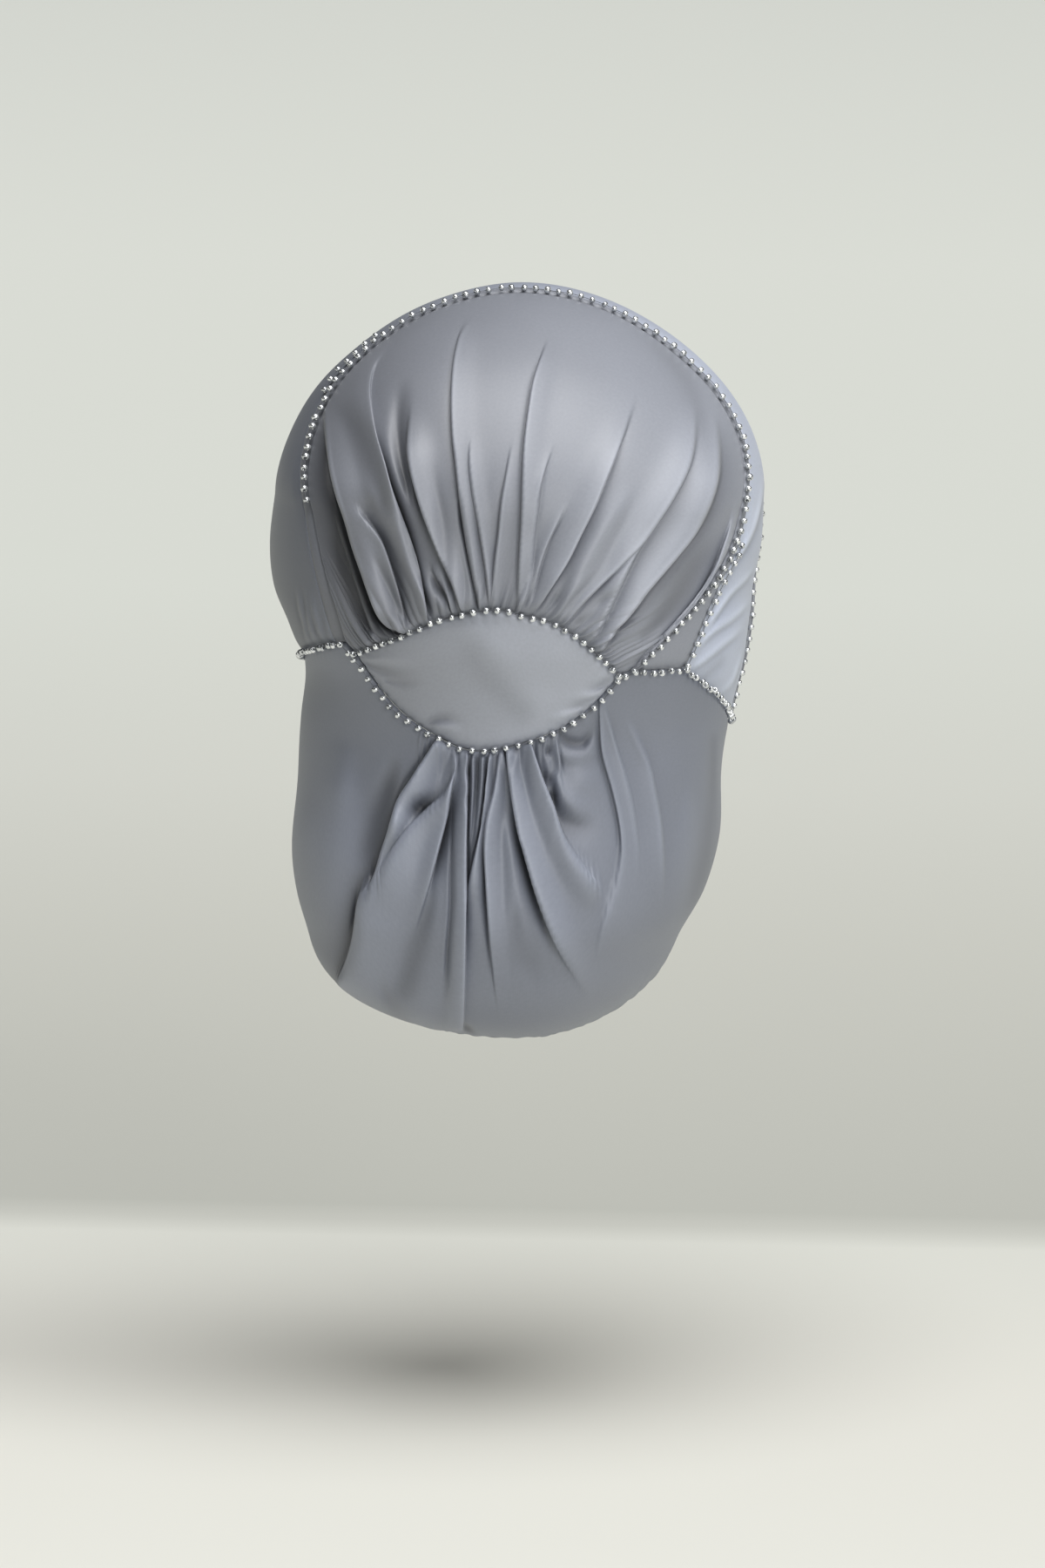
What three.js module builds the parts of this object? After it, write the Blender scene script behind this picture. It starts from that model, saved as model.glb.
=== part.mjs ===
// Pleated turban: a soft satin bonnet with a gathered crown, a band over the head, an almond
// shaped back patch, a hanging pouch for the hair and strings of small beads along the seams.
// Millimetres, +Z up, face side towards -Y. The origin is the middle of the head hollow at brow level.
import * as THREE from 'three';

// Overall form
const TOP = 99.5;
const WIDEST = 20;
const POUCH_FULL = -152;
const BOTTOM = -193;
const CROWN_ROUNDNESS = 1.8;
const POUCH_ROUNDNESS = 1.9;
const SECTION_ROUNDNESS = 2.15;
const MIDDLE = new THREE.Vector3(0, 0, -35);

// Level sections through the form: half widths to the wearer's left (+X) and right (-X), to the
// back (+Y) and to the front (-Y).
const SECTIONS = [
  { z: -152, left: 82, right: 61, back: 103, front: 48 },
  { z: -136, left: 86, right: 72.5, back: 107, front: 50 },
  { z: -116, left: 87.5, right: 78, back: 106, front: 54 },
  { z: -90, left: 85, right: 79, back: 101, front: 62 },
  { z: -66, left: 84, right: 82.5, back: 97, front: 74 },
  { z: -46, left: 83, right: 87.5, back: 102, front: 87 },
  { z: -30, left: 88.5, right: 89.5, back: 109.5, front: 97 },
  { z: -16, left: 94.5, right: 90.5, back: 112, front: 103 },
  { z: 0, left: 96, right: 93.5, back: 112.5, front: 105 },
  { z: 20, left: 93.5, right: 95, back: 111, front: 105 },
];

// Cloth and seams
const WALL = 1.7;
const SEAM_GAP = 0.3;
const SEAM_DIP = 0.8;
const SEAM_SOFTNESS = 3.2;
const HEM_WIDTH = 9;
const HEM_GATHERS = 40;
const HEM_PUCKER = 0.5;

// Strings of beads
const BEAD_DIAMETER = 2.8;
const STRING_SIDES = 8;
const STRING_STEP = 9;
const STRING_LIFT = 1.25;
const STRING_END_GAP = 2.2;

// Stretches of the strip's outer seam that carry beads, as fractions of its length from the left
const STRIP_BEADS = { left: [0.26, 0.34], right: [0.86, 1] };

// Seam points, as [x, y, z] near the form. Every seam is laid on the form along the line from MIDDLE.
const SEAM_POINTS = {
  crown: [
    [58, 87, -29], [62, 89, -12], [70, 79, 14], [74, 67, 34], [71, 52, 54], [60, 37, 72],
    [40, 25, 88], [14, 17, 97], [-14, 13, 98], [-38, 12, 91], [-60, 14, 78], [-78, 15, 60],
    [-88, 22, 42], [-91, 36, 23], [-87, 48, 4], [-77, 64, -12], [-63, 81, -27], [-52, 89, -38],
  ],
  strip: [
    [62, 83, -30], [67, 84, -12], [74, 74, 15], [78, 61, 35], [75, 46, 55], [63, 31, 73],
    [42, 20, 88], [15, 12, 97], [-14, 8, 97], [-39, 7, 91], [-62, 9, 77], [-80, 10, 60],
    [-89, 16, 42], [-92, 30, 23], [-90, 41, 5], [-84, 52, -8], [-77, 63, -25], [-71, 68, -40],
  ],
  band: [
    [86, -15, -50], [91, -9, -20], [92, -12, 10], [84, -26, 48], [56, -42, 76], [0, -52, 88],
    [-50, -50, 76], [-78, -49, 50], [-90, -36, 14], [-90, -22, -20], [-85, -12, -74],
  ],
  brow: [
    [85, -46, -56], [84, -62, -28], [66, -84, -12], [36, -99, -6], [0, -105, -5],
    [-36, -99, -6], [-66, -84, -14], [-84, -62, -38], [-84, -46, -80],
  ],
  patchTop: [
    [54, 89, -33], [37, 103, -25], [20, 110, -17], [7, 112, -13], [-5, 112, -12],
    [-13, 111, -14], [-26, 108, -18], [-37, 102, -27], [-48, 91, -40],
  ],
  patchBottom: [
    [54, 89, -33], [46, 88, -44], [37, 91, -54], [24, 94, -62], [12, 96, -67],
    [2, 97, -68], [-11, 96, -65], [-25, 94, -60], [-38, 92, -51], [-48, 91, -40],
  ],
  neck: [
    [63, -12, -168], [54, 8, -180], [38, 30, -187], [0, 46, -191],
    [-36, 30, -186], [-50, 8, -178], [-58, -12, -166],
  ],
};

// Folds are drawn on the back view, as [across to the viewer's right, up] in mm from the origin, seen
// from VIEW_DISTANCE behind, turned and raised by the two angles.
const VIEW_TURN = 6;
const VIEW_RISE = 7.7;
const VIEW_DISTANCE = 3500;

// One row for each fold. The path starts at the gathered edge. `steep` is the side of the fold that
// falls off sharply: 1 towards the viewer's right, -1 towards the left, 0 for an even fold.
const CROWN_FOLDS = [
  { path: [[-53, -32], [-67, 5], [-74, 30], [-75, 51]], width: 11, height: 2.4, steep: -1 },
  { path: [[-37, -25], [-48, 12], [-56, 34], [-59, 52], [-49, 76]], width: 12, height: 4.2, steep: 1 },
  { path: [[-24, -22], [-32, -3], [-42, 24], [-45, 45], [-43, 62]], width: 10, height: 3.6, steep: -1 },
  { path: [[-11, -24], [-16, -5], [-21, 15], [-25, 54], [-15, 87]], width: 9, height: 3, steep: 1 },
  { path: [[1, -25], [4, 5], [4, 28], [9, 64], [12, 77]], width: 9, height: 3.2, steep: -1 },
  { path: [[9, -25], [18, -8], [32, 25], [45, 58]], width: 9, height: 2.8, steep: 1 },
  { path: [[20, -29], [33, -15], [56, 12], [68, 38], [67, 52]], width: 10, height: 2.8, steep: 1 },
  { path: [[29, -36], [44, -23], [70, 7], [77, 23], [78, 36]], width: 10, height: 2.8, steep: 1 },
  { path: [[40, -48], [54, -36], [67, -20], [78, -1], [84, 23]], width: 10, height: 3, steep: 1 },
];
const POUCH_FOLDS = [
  { path: [[-33, -84], [-46, -100], [-56, -128], [-63, -153], [-66, -173]], width: 12, height: 6, steep: -1 },
  { path: [[-26, -86], [-33, -108], [-41, -140], [-46, -170]], width: 10, height: 3.4, steep: 1 },
  { path: [[-22, -86], [-23, -121], [-24, -161], [-27, -188]], width: 8, height: 4, steep: 0 },
  { path: [[-13, -86], [-15, -110], [-17, -140], [-18, -170]], width: 8, height: 3, steep: -1 },
  { path: [[-4, -86], [-1, -121], [2, -145], [9, -174]], width: 9, height: 3.4, steep: 1 },
  { path: [[3, -84], [10, -108], [20, -145], [29, -174]], width: 9, height: 4, steep: 1 },
  { path: [[11, -81], [18, -102], [29, -128], [36, -142]], width: 10, height: 4.4, steep: 1 },
  { path: [[32, -68], [38, -90], [39, -129], [32, -160]], width: 12, height: 2.6, steep: 0 },
  { path: [[44, -62], [54, -88], [57, -113], [51, -140]], width: 12, height: 2.4, steep: 0 },
];
const FOLD_STEEPNESS = 0.42;
const FOLD_START = 0.12;
const FOLD_FADE = 0.35;
const FOLD_SAMPLES = 24;

// How far the columns of the pouch fan out below the patch: 0 is even, towards 1 is wide
const POUCH_FAN = 0.75;

// Pleats at the ends of the side band, and pleats that run the whole length of the front band
const BAND_PLEATS = { count: 3, height: 1.5, reach: 0.3 };
const BROW_PLEATS = { count: 5, height: 2.2 };

// Numbers of facets, along and across each panel
const FACETS = {
  crown_panel: { columns: 50, rows: 11 },
  crown_strip: { columns: 50, rows: 1 },
  side_band: { columns: 50, rows: 6 },
  front_band: { columns: 24, rows: 10 },
  back_patch: { columns: 16, rows: 4 },
  pouch: { columns: 60, rows: 12 },
  hem: { columns: 52, rows: 1 },
};
const PATCH_COLUMN_SHARE = 2.2;
const ROW_CROWDING = 0.45;

// Colours and finish of the satin and the beads
const SATIN = { color: 0x8b8e95, roughness: 0.5, metalness: 0 };
const SILVER_BEADS = { color: 0xb9bcc0, roughness: 0.22, metalness: 0.4 };

/** Slope of a column of SECTIONS at row i, from its neighbours. */
function sectionSlope(column, i) {
  const before = SECTIONS[Math.max(i - 1, 0)];
  const after = SECTIONS[Math.min(i + 1, SECTIONS.length - 1)];
  return (after[column] - before[column]) / (after.z - before.z);
}

/** Half width of the form at a height, as a smooth curve through SECTIONS. */
function halfWidth(column, z) {
  const last = SECTIONS.length - 1;
  const level = THREE.MathUtils.clamp(z, SECTIONS[0].z, SECTIONS[last].z);
  const next = Math.min(Math.max(SECTIONS.findIndex((row) => row.z >= level), 1), last);
  const low = SECTIONS[next - 1];
  const high = SECTIONS[next];
  const span = high.z - low.z;
  const t = (level - low.z) / span;
  const rise = 3 * t ** 2 - 2 * t ** 3;
  return low[column] * (1 - rise) + high[column] * rise
    + span * (t ** 3 - 2 * t ** 2 + t) * sectionSlope(column, next - 1)
    + span * (t ** 3 - t ** 2) * sectionSlope(column, next);
}

/** How far the section has closed towards the top or the bottom: 1 is full, 0 is shut. */
function closing(z) {
  const up = THREE.MathUtils.clamp((z - WIDEST) / (TOP - WIDEST), 0, 1);
  const down = THREE.MathUtils.clamp((POUCH_FULL - z) / (POUCH_FULL - BOTTOM), 0, 1);
  return (1 - up ** CROWN_ROUNDNESS) ** (1 / CROWN_ROUNDNESS)
    * (1 - down ** POUCH_ROUNDNESS) ** (1 / POUCH_ROUNDNESS);
}

/** Below zero inside the form and above zero outside it. */
function formValue(point) {
  if (point.z >= TOP || point.z <= BOTTOM) return 1;
  const full = Math.max(closing(point.z), 1e-4);
  const across = halfWidth(point.x > 0 ? 'left' : 'right', point.z) * full;
  const along = halfWidth(point.y > 0 ? 'back' : 'front', point.z) * full;
  return Math.abs(point.x / across) ** SECTION_ROUNDNESS
    + Math.abs(point.y / along) ** SECTION_ROUNDNESS - 1;
}

/** The point of the form in a direction from MIDDLE. */
function formPoint(direction) {
  const probe = new THREE.Vector3();
  let near = 0;
  let far = 2 * (TOP - BOTTOM);
  for (let i = 0; i < 40; i += 1) {
    const reach = (near + far) / 2;
    probe.copy(MIDDLE).addScaledVector(direction, reach);
    if (formValue(probe) < 0) near = reach;
    else far = reach;
  }
  return probe.copy(MIDDLE).addScaledVector(direction, near);
}

/** Two directions at right angles to the given one. */
function sideways(direction) {
  const helper = Math.abs(direction.z) < 0.8 ? new THREE.Vector3(0, 0, 1) : new THREE.Vector3(0, 1, 0);
  const first = new THREE.Vector3().crossVectors(direction, helper).normalize();
  return [first, new THREE.Vector3().crossVectors(direction, first).normalize()];
}

/** Outward normal of the form in a direction, from two points close by. */
function formNormal(direction) {
  const step = 0.01;
  const [first, second] = sideways(direction);
  const at = (axis, sign) => formPoint(direction.clone().addScaledVector(axis, sign * step).normalize());
  const alongFirst = at(first, 1).sub(at(first, -1));
  const alongSecond = at(second, 1).sub(at(second, -1));
  const normal = alongFirst.cross(alongSecond).normalize();
  return normal.dot(direction) < 0 ? normal.negate() : normal;
}

/** The direction from MIDDLE to a point given as [x, y, z]. */
function directionTo([x, y, z]) {
  return new THREE.Vector3(x, y, z).sub(MIDDLE).normalize();
}

/** The direction at a fraction of the arc between two directions. */
function alongArc(start, end, fraction) {
  const angle = start.angleTo(end);
  if (angle < 1e-6) return start.clone();
  return start.clone().multiplyScalar(Math.sin((1 - fraction) * angle) / Math.sin(angle))
    .addScaledVector(end, Math.sin(fraction * angle) / Math.sin(angle));
}

/** A smooth seam through points: its length, and the direction from MIDDLE at a fraction of it. */
function smoothSeam(points) {
  const onForm = points.map((point) => formPoint(directionTo(point)));
  const curve = new THREE.CatmullRomCurve3(onForm, false, 'centripetal');
  curve.arcLengthDivisions = 400;
  return {
    length: curve.getLength(),
    at: (fraction) => curve.getPointAt(THREE.MathUtils.clamp(fraction, 0, 1)).sub(MIDDLE).normalize(),
  };
}

/** A straight seam, the shortest arc between two directions. */
function straightSeam(start, end) {
  return {
    length: formPoint(start).distanceTo(formPoint(end)),
    at: (fraction) => alongArc(start, end, fraction),
  };
}

/** The stretch of a seam between two fractions of its length. */
function partOf(seam, [start, end]) {
  return {
    length: seam.length * (end - start),
    at: (fraction) => seam.at(start + (end - start) * fraction),
  };
}

/** The same seam, from its end to its start. */
function reversed(seam) {
  return { length: seam.length, at: (fraction) => seam.at(1 - fraction) };
}

/** The same seam with its fractions moved away from its ends, so that lines to its middle fan out. */
function fannedOut(seam, fan) {
  const at = (fraction) => seam.at(fraction - fan * Math.sin(2 * Math.PI * fraction) / (2 * Math.PI));
  return { length: seam.length, at };
}

/** Several seams one after another, as a single one. */
function joinSeams(parts) {
  const length = parts.reduce((sum, part) => sum + part.length, 0);
  const at = (fraction) => {
    let left = THREE.MathUtils.clamp(fraction, 0, 1) * length;
    const part = parts.find((candidate) => {
      const here = left <= candidate.length || candidate === parts.at(-1);
      if (!here) left -= candidate.length;
      return here;
    });
    return part.at(Math.min(left / part.length, 1));
  };
  return { length, at, parts };
}

const seams = Object.fromEntries(
  Object.entries(SEAM_POINTS).map(([name, points]) => [name, smoothSeam(points)]),
);
seams.left = joinSeams([
  straightSeam(seams.band.at(0), seams.strip.at(0)),
  straightSeam(seams.strip.at(0), seams.crown.at(0)),
  straightSeam(seams.crown.at(0), seams.patchTop.at(0)),
]);
seams.right = joinSeams([
  straightSeam(seams.patchTop.at(1), seams.crown.at(1)),
  straightSeam(seams.crown.at(1), seams.strip.at(1)),
  straightSeam(seams.strip.at(1), seams.band.at(1)),
]);
seams.pouchTop = joinSeams([
  straightSeam(seams.brow.at(0), seams.band.at(0)),
  seams.left,
  seams.patchBottom,
  seams.right,
  straightSeam(seams.band.at(1), seams.brow.at(1)),
]);

const eyeAngle = THREE.MathUtils.degToRad(VIEW_TURN);
const eyeRise = THREE.MathUtils.degToRad(VIEW_RISE);
const towardsEye = new THREE.Vector3(
  -Math.sin(eyeAngle) * Math.cos(eyeRise),
  Math.cos(eyeAngle) * Math.cos(eyeRise),
  Math.sin(eyeRise),
);
const viewRight = new THREE.Vector3(-Math.cos(eyeAngle), -Math.sin(eyeAngle), 0);
const viewUp = new THREE.Vector3().crossVectors(towardsEye, viewRight);

/** Where a point lies on the back view. */
function onBackView(point) {
  const shrink = VIEW_DISTANCE / (VIEW_DISTANCE - point.dot(towardsEye));
  return new THREE.Vector2(point.dot(viewRight) * shrink, point.dot(viewUp) * shrink);
}

/** The fold's path on the back view, as short straight pieces. */
function foldLine(fold) {
  const curve = new THREE.SplineCurve(fold.path.map(([across, up]) => new THREE.Vector2(across, up)));
  return curve.getPoints(FOLD_SAMPLES);
}

/** Height that one fold adds at a place on the back view. */
function foldHeight(fold, line, place) {
  let best = { distance: Infinity, side: 0, along: 0 };
  for (let i = 0; i < line.length - 1; i += 1) {
    const piece = line[i + 1].clone().sub(line[i]);
    const offset = place.clone().sub(line[i]);
    const t = THREE.MathUtils.clamp(offset.dot(piece) / piece.lengthSq(), 0, 1);
    const distance = offset.clone().addScaledVector(piece, -t).length();
    if (distance < best.distance) {
      best = { distance, side: Math.sign(piece.cross(offset)), along: (i + t) / (line.length - 1) };
    }
  }
  const heading = Math.sign(line.at(-1).y - line[0].y);
  const viewerSide = -best.side * heading;
  const half = fold.width / 2 * (viewerSide * fold.steep > 0 ? FOLD_STEEPNESS : 1);
  const profile = Math.exp(-((best.distance / half) ** 2));
  const start = THREE.MathUtils.smoothstep(best.along, 0, FOLD_START);
  const fade = 1 - THREE.MathUtils.smoothstep(best.along, 1 - FOLD_FADE, 1);
  return fold.height * profile * (0.4 + 0.6 * start) * fade;
}

/** A relief that is the sum of a table of drawn folds. */
function drawnFolds(folds) {
  const lines = folds.map(foldLine);
  return ({ point }) => {
    const place = onBackView(point);
    return folds.reduce((sum, fold, i) => sum + foldHeight(fold, lines[i], place), 0);
  };
}

/** Pleats across the ends of the side band that die out towards its middle. */
function endPleats({ u, v }) {
  const fromEnd = Math.min(u, 1 - u) / BAND_PLEATS.reach;
  const strength = Math.max(1 - fromEnd, 0) ** 1.5;
  return BAND_PLEATS.height * strength * Math.cos(2 * Math.PI * BAND_PLEATS.count * v);
}

/** Pleats that run the whole length of the front band. */
function browPleats({ v }) {
  return BROW_PLEATS.height * Math.abs(Math.sin(Math.PI * BROW_PLEATS.count * v));
}

/** The small puckers of an elastic hem. */
function hemPuckers({ u }) {
  return HEM_PUCKER * Math.cos(2 * Math.PI * HEM_GATHERS * u);
}

/** Fractions along a seam for the facet columns, with one column at each corner of the seam. */
function columnFractions(seam, columns) {
  const parts = (seam.parts ?? [seam]).flatMap((part) => part.parts ?? [part]);
  const weight = (part) => part.length * (part === seams.patchBottom ? PATCH_COLUMN_SHARE : 1);
  const total = parts.reduce((sum, part) => sum + weight(part), 0);
  const fractions = [0];
  let done = 0;
  parts.forEach((part) => {
    const count = Math.max(Math.round(columns * weight(part) / total), 1);
    for (let i = 1; i <= count; i += 1) fractions.push((done + part.length * i / count) / seam.length);
    done += part.length;
  });
  return fractions;
}

/** Spread of facet rows across a panel: even, or closer together beside its two seams. */
function rowFraction(row, rows, crowding) {
  const even = row / rows;
  return even - crowding * Math.sin(2 * Math.PI * even) / (2 * Math.PI);
}

/**
 * A cloth panel between two seams, as one closed shell. Columns run from the first seam to the second,
 * and relief gives the height of its folds. A looped panel joins its last column to its first.
 */
function panel(name, options) {
  const { from, to, relief = () => 0, looped = false, edgeGap = SEAM_GAP / 2, crowding = 0 } = options;
  const { columns, rows } = FACETS[name];
  const lengthAlong = Math.max(from.length, to.length);
  const sideInset = looped ? 0 : SEAM_GAP / lengthAlong;
  const fractions = columnFractions(from, columns);
  if (looped) fractions.pop();
  const outer = [];
  const inner = [];
  for (const fraction of fractions) {
    const u = THREE.MathUtils.clamp(fraction, sideInset, 1 - sideInset);
    const start = from.at(u);
    const end = to.at(u);
    const span = formPoint(start).distanceTo(formPoint(end));
    const inset = Math.min(edgeGap / span, 0.2);
    for (let j = 0; j <= rows; j += 1) {
      const v = inset + (1 - 2 * inset) * rowFraction(j, rows, crowding);
      const direction = alongArc(start, end, v);
      const point = formPoint(direction);
      const normal = formNormal(direction);
      const alongHere = THREE.MathUtils.lerp(from.length, to.length, v);
      const toEnd = looped ? Infinity : Math.min(u, 1 - u) * alongHere;
      const toSeam = Math.min(v * span, (1 - v) * span, toEnd);
      const dip = SEAM_DIP * Math.exp(-((toSeam / SEAM_SOFTNESS) ** 2));
      const open = THREE.MathUtils.smoothstep(toSeam, 0, 2 * SEAM_SOFTNESS);
      const height = relief({ point, u, v }) * open - dip;
      outer.push(point.clone().addScaledVector(normal, height));
      inner.push(point.clone().addScaledVector(normal, height - WALL));
    }
  }
  return shell(name, outer, inner, fractions.length, rows + 1, looped);
}

/** Joins an outer and an inner grid of points into one closed mesh. */
function shell(name, outer, inner, columnCount, rowCount, looped) {
  const points = [...outer, ...inner];
  const faces = [];
  const at = (i, j, layer) => (i % columnCount) * rowCount + j + layer * outer.length;
  const quad = (a, b, c, d) => faces.push(a, b, c, a, c, d);
  const lastColumn = looped ? columnCount : columnCount - 1;
  const lastRow = rowCount - 1;
  for (let i = 0; i < lastColumn; i += 1) {
    for (let j = 0; j < lastRow; j += 1) {
      quad(at(i, j, 0), at(i + 1, j, 0), at(i + 1, j + 1, 0), at(i, j + 1, 0));
      quad(at(i, j, 1), at(i, j + 1, 1), at(i + 1, j + 1, 1), at(i + 1, j, 1));
    }
    quad(at(i, 0, 1), at(i + 1, 0, 1), at(i + 1, 0, 0), at(i, 0, 0));
    quad(at(i, lastRow, 0), at(i + 1, lastRow, 0), at(i + 1, lastRow, 1), at(i, lastRow, 1));
  }
  if (!looped) {
    for (let j = 0; j < lastRow; j += 1) {
      quad(at(0, j, 0), at(0, j + 1, 0), at(0, j + 1, 1), at(0, j, 1));
      quad(at(lastColumn, j, 1), at(lastColumn, j + 1, 1), at(lastColumn, j + 1, 0), at(lastColumn, j, 0));
    }
  }
  const middle = Math.floor(lastColumn / 2);
  const facing = faceNormal(points, at(middle, 0, 0), at(middle + 1, 0, 0), at(middle + 1, 1, 0));
  const outward = outer[at(middle, 0, 0)].clone().sub(MIDDLE);
  if (facing.dot(outward) < 0) faces.reverse();
  const geometry = new THREE.BufferGeometry().setFromPoints(points);
  geometry.setIndex(faces);
  return satinMesh(name, geometry);
}

/** Normal of the triangle through three of the points. */
function faceNormal(points, a, b, c) {
  const first = points[b].clone().sub(points[a]);
  return first.cross(points[c].clone().sub(points[a]));
}

/** A named mesh of satin. */
function satinMesh(name, geometry) {
  geometry.computeVertexNormals();
  const mesh = new THREE.Mesh(geometry, new THREE.MeshStandardMaterial(SATIN));
  mesh.name = name;
  return mesh;
}

/** A string of beads along a seam, as a tube of the beads' diameter in the seam's groove. */
function beadString(name, seam) {
  const clear = STRING_END_GAP / seam.length;
  const steps = Math.max(Math.round(seam.length / STRING_STEP), 2);
  const points = [];
  for (let i = 0; i <= steps; i += 1) {
    const direction = seam.at(clear + (1 - 2 * clear) * i / steps);
    points.push(formPoint(direction).addScaledVector(formNormal(direction), STRING_LIFT));
  }
  const section = new THREE.Shape().absarc(0, 0, BEAD_DIAMETER / 2, 0, 2 * Math.PI);
  const geometry = new THREE.ExtrudeGeometry(section, {
    steps,
    curveSegments: STRING_SIDES / 2,
    extrudePath: new THREE.CatmullRomCurve3(points, false, 'centripetal'),
  });
  const mesh = new THREE.Mesh(geometry, new THREE.MeshStandardMaterial(SILVER_BEADS));
  mesh.name = name;
  return mesh;
}

/** The closed line of the hem, from the left brow over the forehead and round under the pouch. */
function hemLine() {
  return joinSeams([
    seams.brow,
    straightSeam(seams.brow.at(1), seams.neck.at(1)),
    reversed(seams.neck),
    straightSeam(seams.neck.at(0), seams.brow.at(0)),
  ]);
}

/** The same line moved into the opening by the width of the hem. */
function insideOf(line) {
  const openingMiddle = directionTo([0, -60, -80]);
  const at = (fraction) => {
    const direction = line.at(fraction);
    const reach = HEM_WIDTH / formPoint(direction).distanceTo(MIDDLE);
    return alongArc(direction, openingMiddle, reach / direction.angleTo(openingMiddle));
  };
  return { length: line.length, at };
}

const turban = new THREE.Group();
turban.name = 'pleated_turban';
turban.add(panel('crown_panel', {
  from: seams.patchTop,
  to: seams.crown,
  relief: drawnFolds(CROWN_FOLDS),
  crowding: ROW_CROWDING,
}));
turban.add(panel('crown_strip', { from: seams.crown, to: seams.strip }));
turban.add(panel('side_band', { from: seams.strip, to: seams.band, relief: endPleats }));
turban.add(panel('front_band', { from: seams.band, to: seams.brow, relief: browPleats }));
turban.add(panel('back_patch', { from: seams.patchTop, to: seams.patchBottom }));
turban.add(panel('pouch', {
  from: seams.pouchTop,
  to: fannedOut(seams.neck, POUCH_FAN),
  relief: drawnFolds(POUCH_FOLDS),
  crowding: ROW_CROWDING,
}));
const hemOuterEdge = hemLine();
turban.add(panel('hem', {
  from: hemOuterEdge,
  to: insideOf(hemOuterEdge),
  relief: hemPuckers,
  looped: true,
  edgeGap: 1.2 * SEAM_GAP,
}));
turban.add(beadString('bead_row_crown', seams.crown));
turban.add(beadString('bead_row_strip_left', partOf(seams.strip, STRIP_BEADS.left)));
turban.add(beadString('bead_row_strip_right', partOf(seams.strip, STRIP_BEADS.right)));
turban.add(beadString('bead_row_band', seams.band));
turban.add(beadString('bead_row_patch_top', seams.patchTop));
turban.add(beadString('bead_row_patch_bottom', seams.patchBottom));
turban.add(beadString('bead_row_left', seams.left));
turban.add(beadString('bead_row_right', seams.right));

export default turban;
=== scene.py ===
"""Pleated turban of grey satin: a gathered crown, an almond shaped back patch and a hanging pouch.

Small silver lined beads run along its seams. The tables are in millimetres, as a milliner marks
them, and the meshes are made in metres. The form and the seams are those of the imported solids, but
the lower edge of the form is eased a little, so that the satin has no kink there.
"""

from __future__ import annotations

import logging
import math
from dataclasses import dataclass, field
from enum import Enum

import bpy
import numpy as np
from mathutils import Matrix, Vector

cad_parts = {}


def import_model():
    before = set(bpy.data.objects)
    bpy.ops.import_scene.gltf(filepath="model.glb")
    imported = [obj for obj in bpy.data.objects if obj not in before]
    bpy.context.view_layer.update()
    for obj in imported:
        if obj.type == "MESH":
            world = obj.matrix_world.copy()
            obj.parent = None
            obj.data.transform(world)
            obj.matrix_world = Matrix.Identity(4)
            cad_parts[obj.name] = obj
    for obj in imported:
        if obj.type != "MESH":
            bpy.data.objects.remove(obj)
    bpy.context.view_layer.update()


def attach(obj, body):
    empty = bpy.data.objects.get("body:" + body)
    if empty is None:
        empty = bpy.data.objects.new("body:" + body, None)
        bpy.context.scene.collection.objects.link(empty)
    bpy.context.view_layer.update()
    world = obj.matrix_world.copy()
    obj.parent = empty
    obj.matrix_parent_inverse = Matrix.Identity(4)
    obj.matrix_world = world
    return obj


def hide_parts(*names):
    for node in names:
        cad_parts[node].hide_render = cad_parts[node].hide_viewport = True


LOG = logging.getLogger("pleated_turban")
MM = 0.001
LEAST_LENGTH = 1e-12
LEAST_ANGLE = 1e-6
BODY = "root"
Array = np.ndarray
Path = tuple[tuple[float, float], ...]
Colour = tuple[float, float, float]
Socket = bpy.types.NodeSocket


class Side(Enum):
    """The side on which a fold falls off sharply, as seen on the back view."""

    LEFT = -1
    EVEN = 0
    RIGHT = 1


def smooth_step(value: Array, low: float, high: float) -> Array:
    """Rise smoothly from 0 at low to 1 at high."""
    t = np.clip((value - low) / (high - low), 0.0, 1.0)
    return t * t * (3.0 - 2.0 * t)


def unit(vectors: Array) -> Array:
    """Scale vectors along the last axis to length 1."""
    return vectors / np.maximum(np.linalg.norm(vectors, axis=-1, keepdims=True), LEAST_LENGTH)


def arc_between(start: Array, end: Array, fraction: Array) -> Array:
    """Directions at a fraction of the arcs between two sets of directions.

    Args:
        start: Unit vectors at fraction 0.
        end: Unit vectors at fraction 1.
        fraction: Fractions, with the same leading shape.

    Returns:
        Unit vectors along the arcs.
    """
    angle = np.arccos(np.clip(np.sum(start * end, axis=-1), -1.0, 1.0))
    angle = np.maximum(angle, LEAST_ANGLE)
    sine = np.sin(angle)
    near = np.sin((1.0 - fraction) * angle) / sine
    far = np.sin(fraction * angle) / sine
    return unit(start * near[..., None] + end * far[..., None])


def smooth_piece(start: Array, end: Array, leave: Array, arrive: Array, t: Array) -> Array:
    """Points of the cubic curve between two points, from its rates of change at both ends."""
    bend = -3 * start + 3 * end - 2 * leave - arrive
    return start + leave * t + bend * t**2 + (2 * start - 2 * end + leave + arrive) * t**3


def towards(azimuth: float, elevation: float) -> Vector:
    """Unit vector in a direction given in degrees; azimuth 0 is in front of the turban."""
    turn, rise = math.radians(azimuth), math.radians(elevation)
    level = math.cos(rise)
    return Vector((math.sin(turn) * level, -math.cos(turn) * level, math.sin(rise)))


def placed(name: str, data: bpy.types.ID) -> bpy.types.Object:
    """Make an object of the data and put it in the scene."""
    thing = bpy.data.objects.new(name, data)
    bpy.context.scene.collection.objects.link(thing)
    return thing


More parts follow.
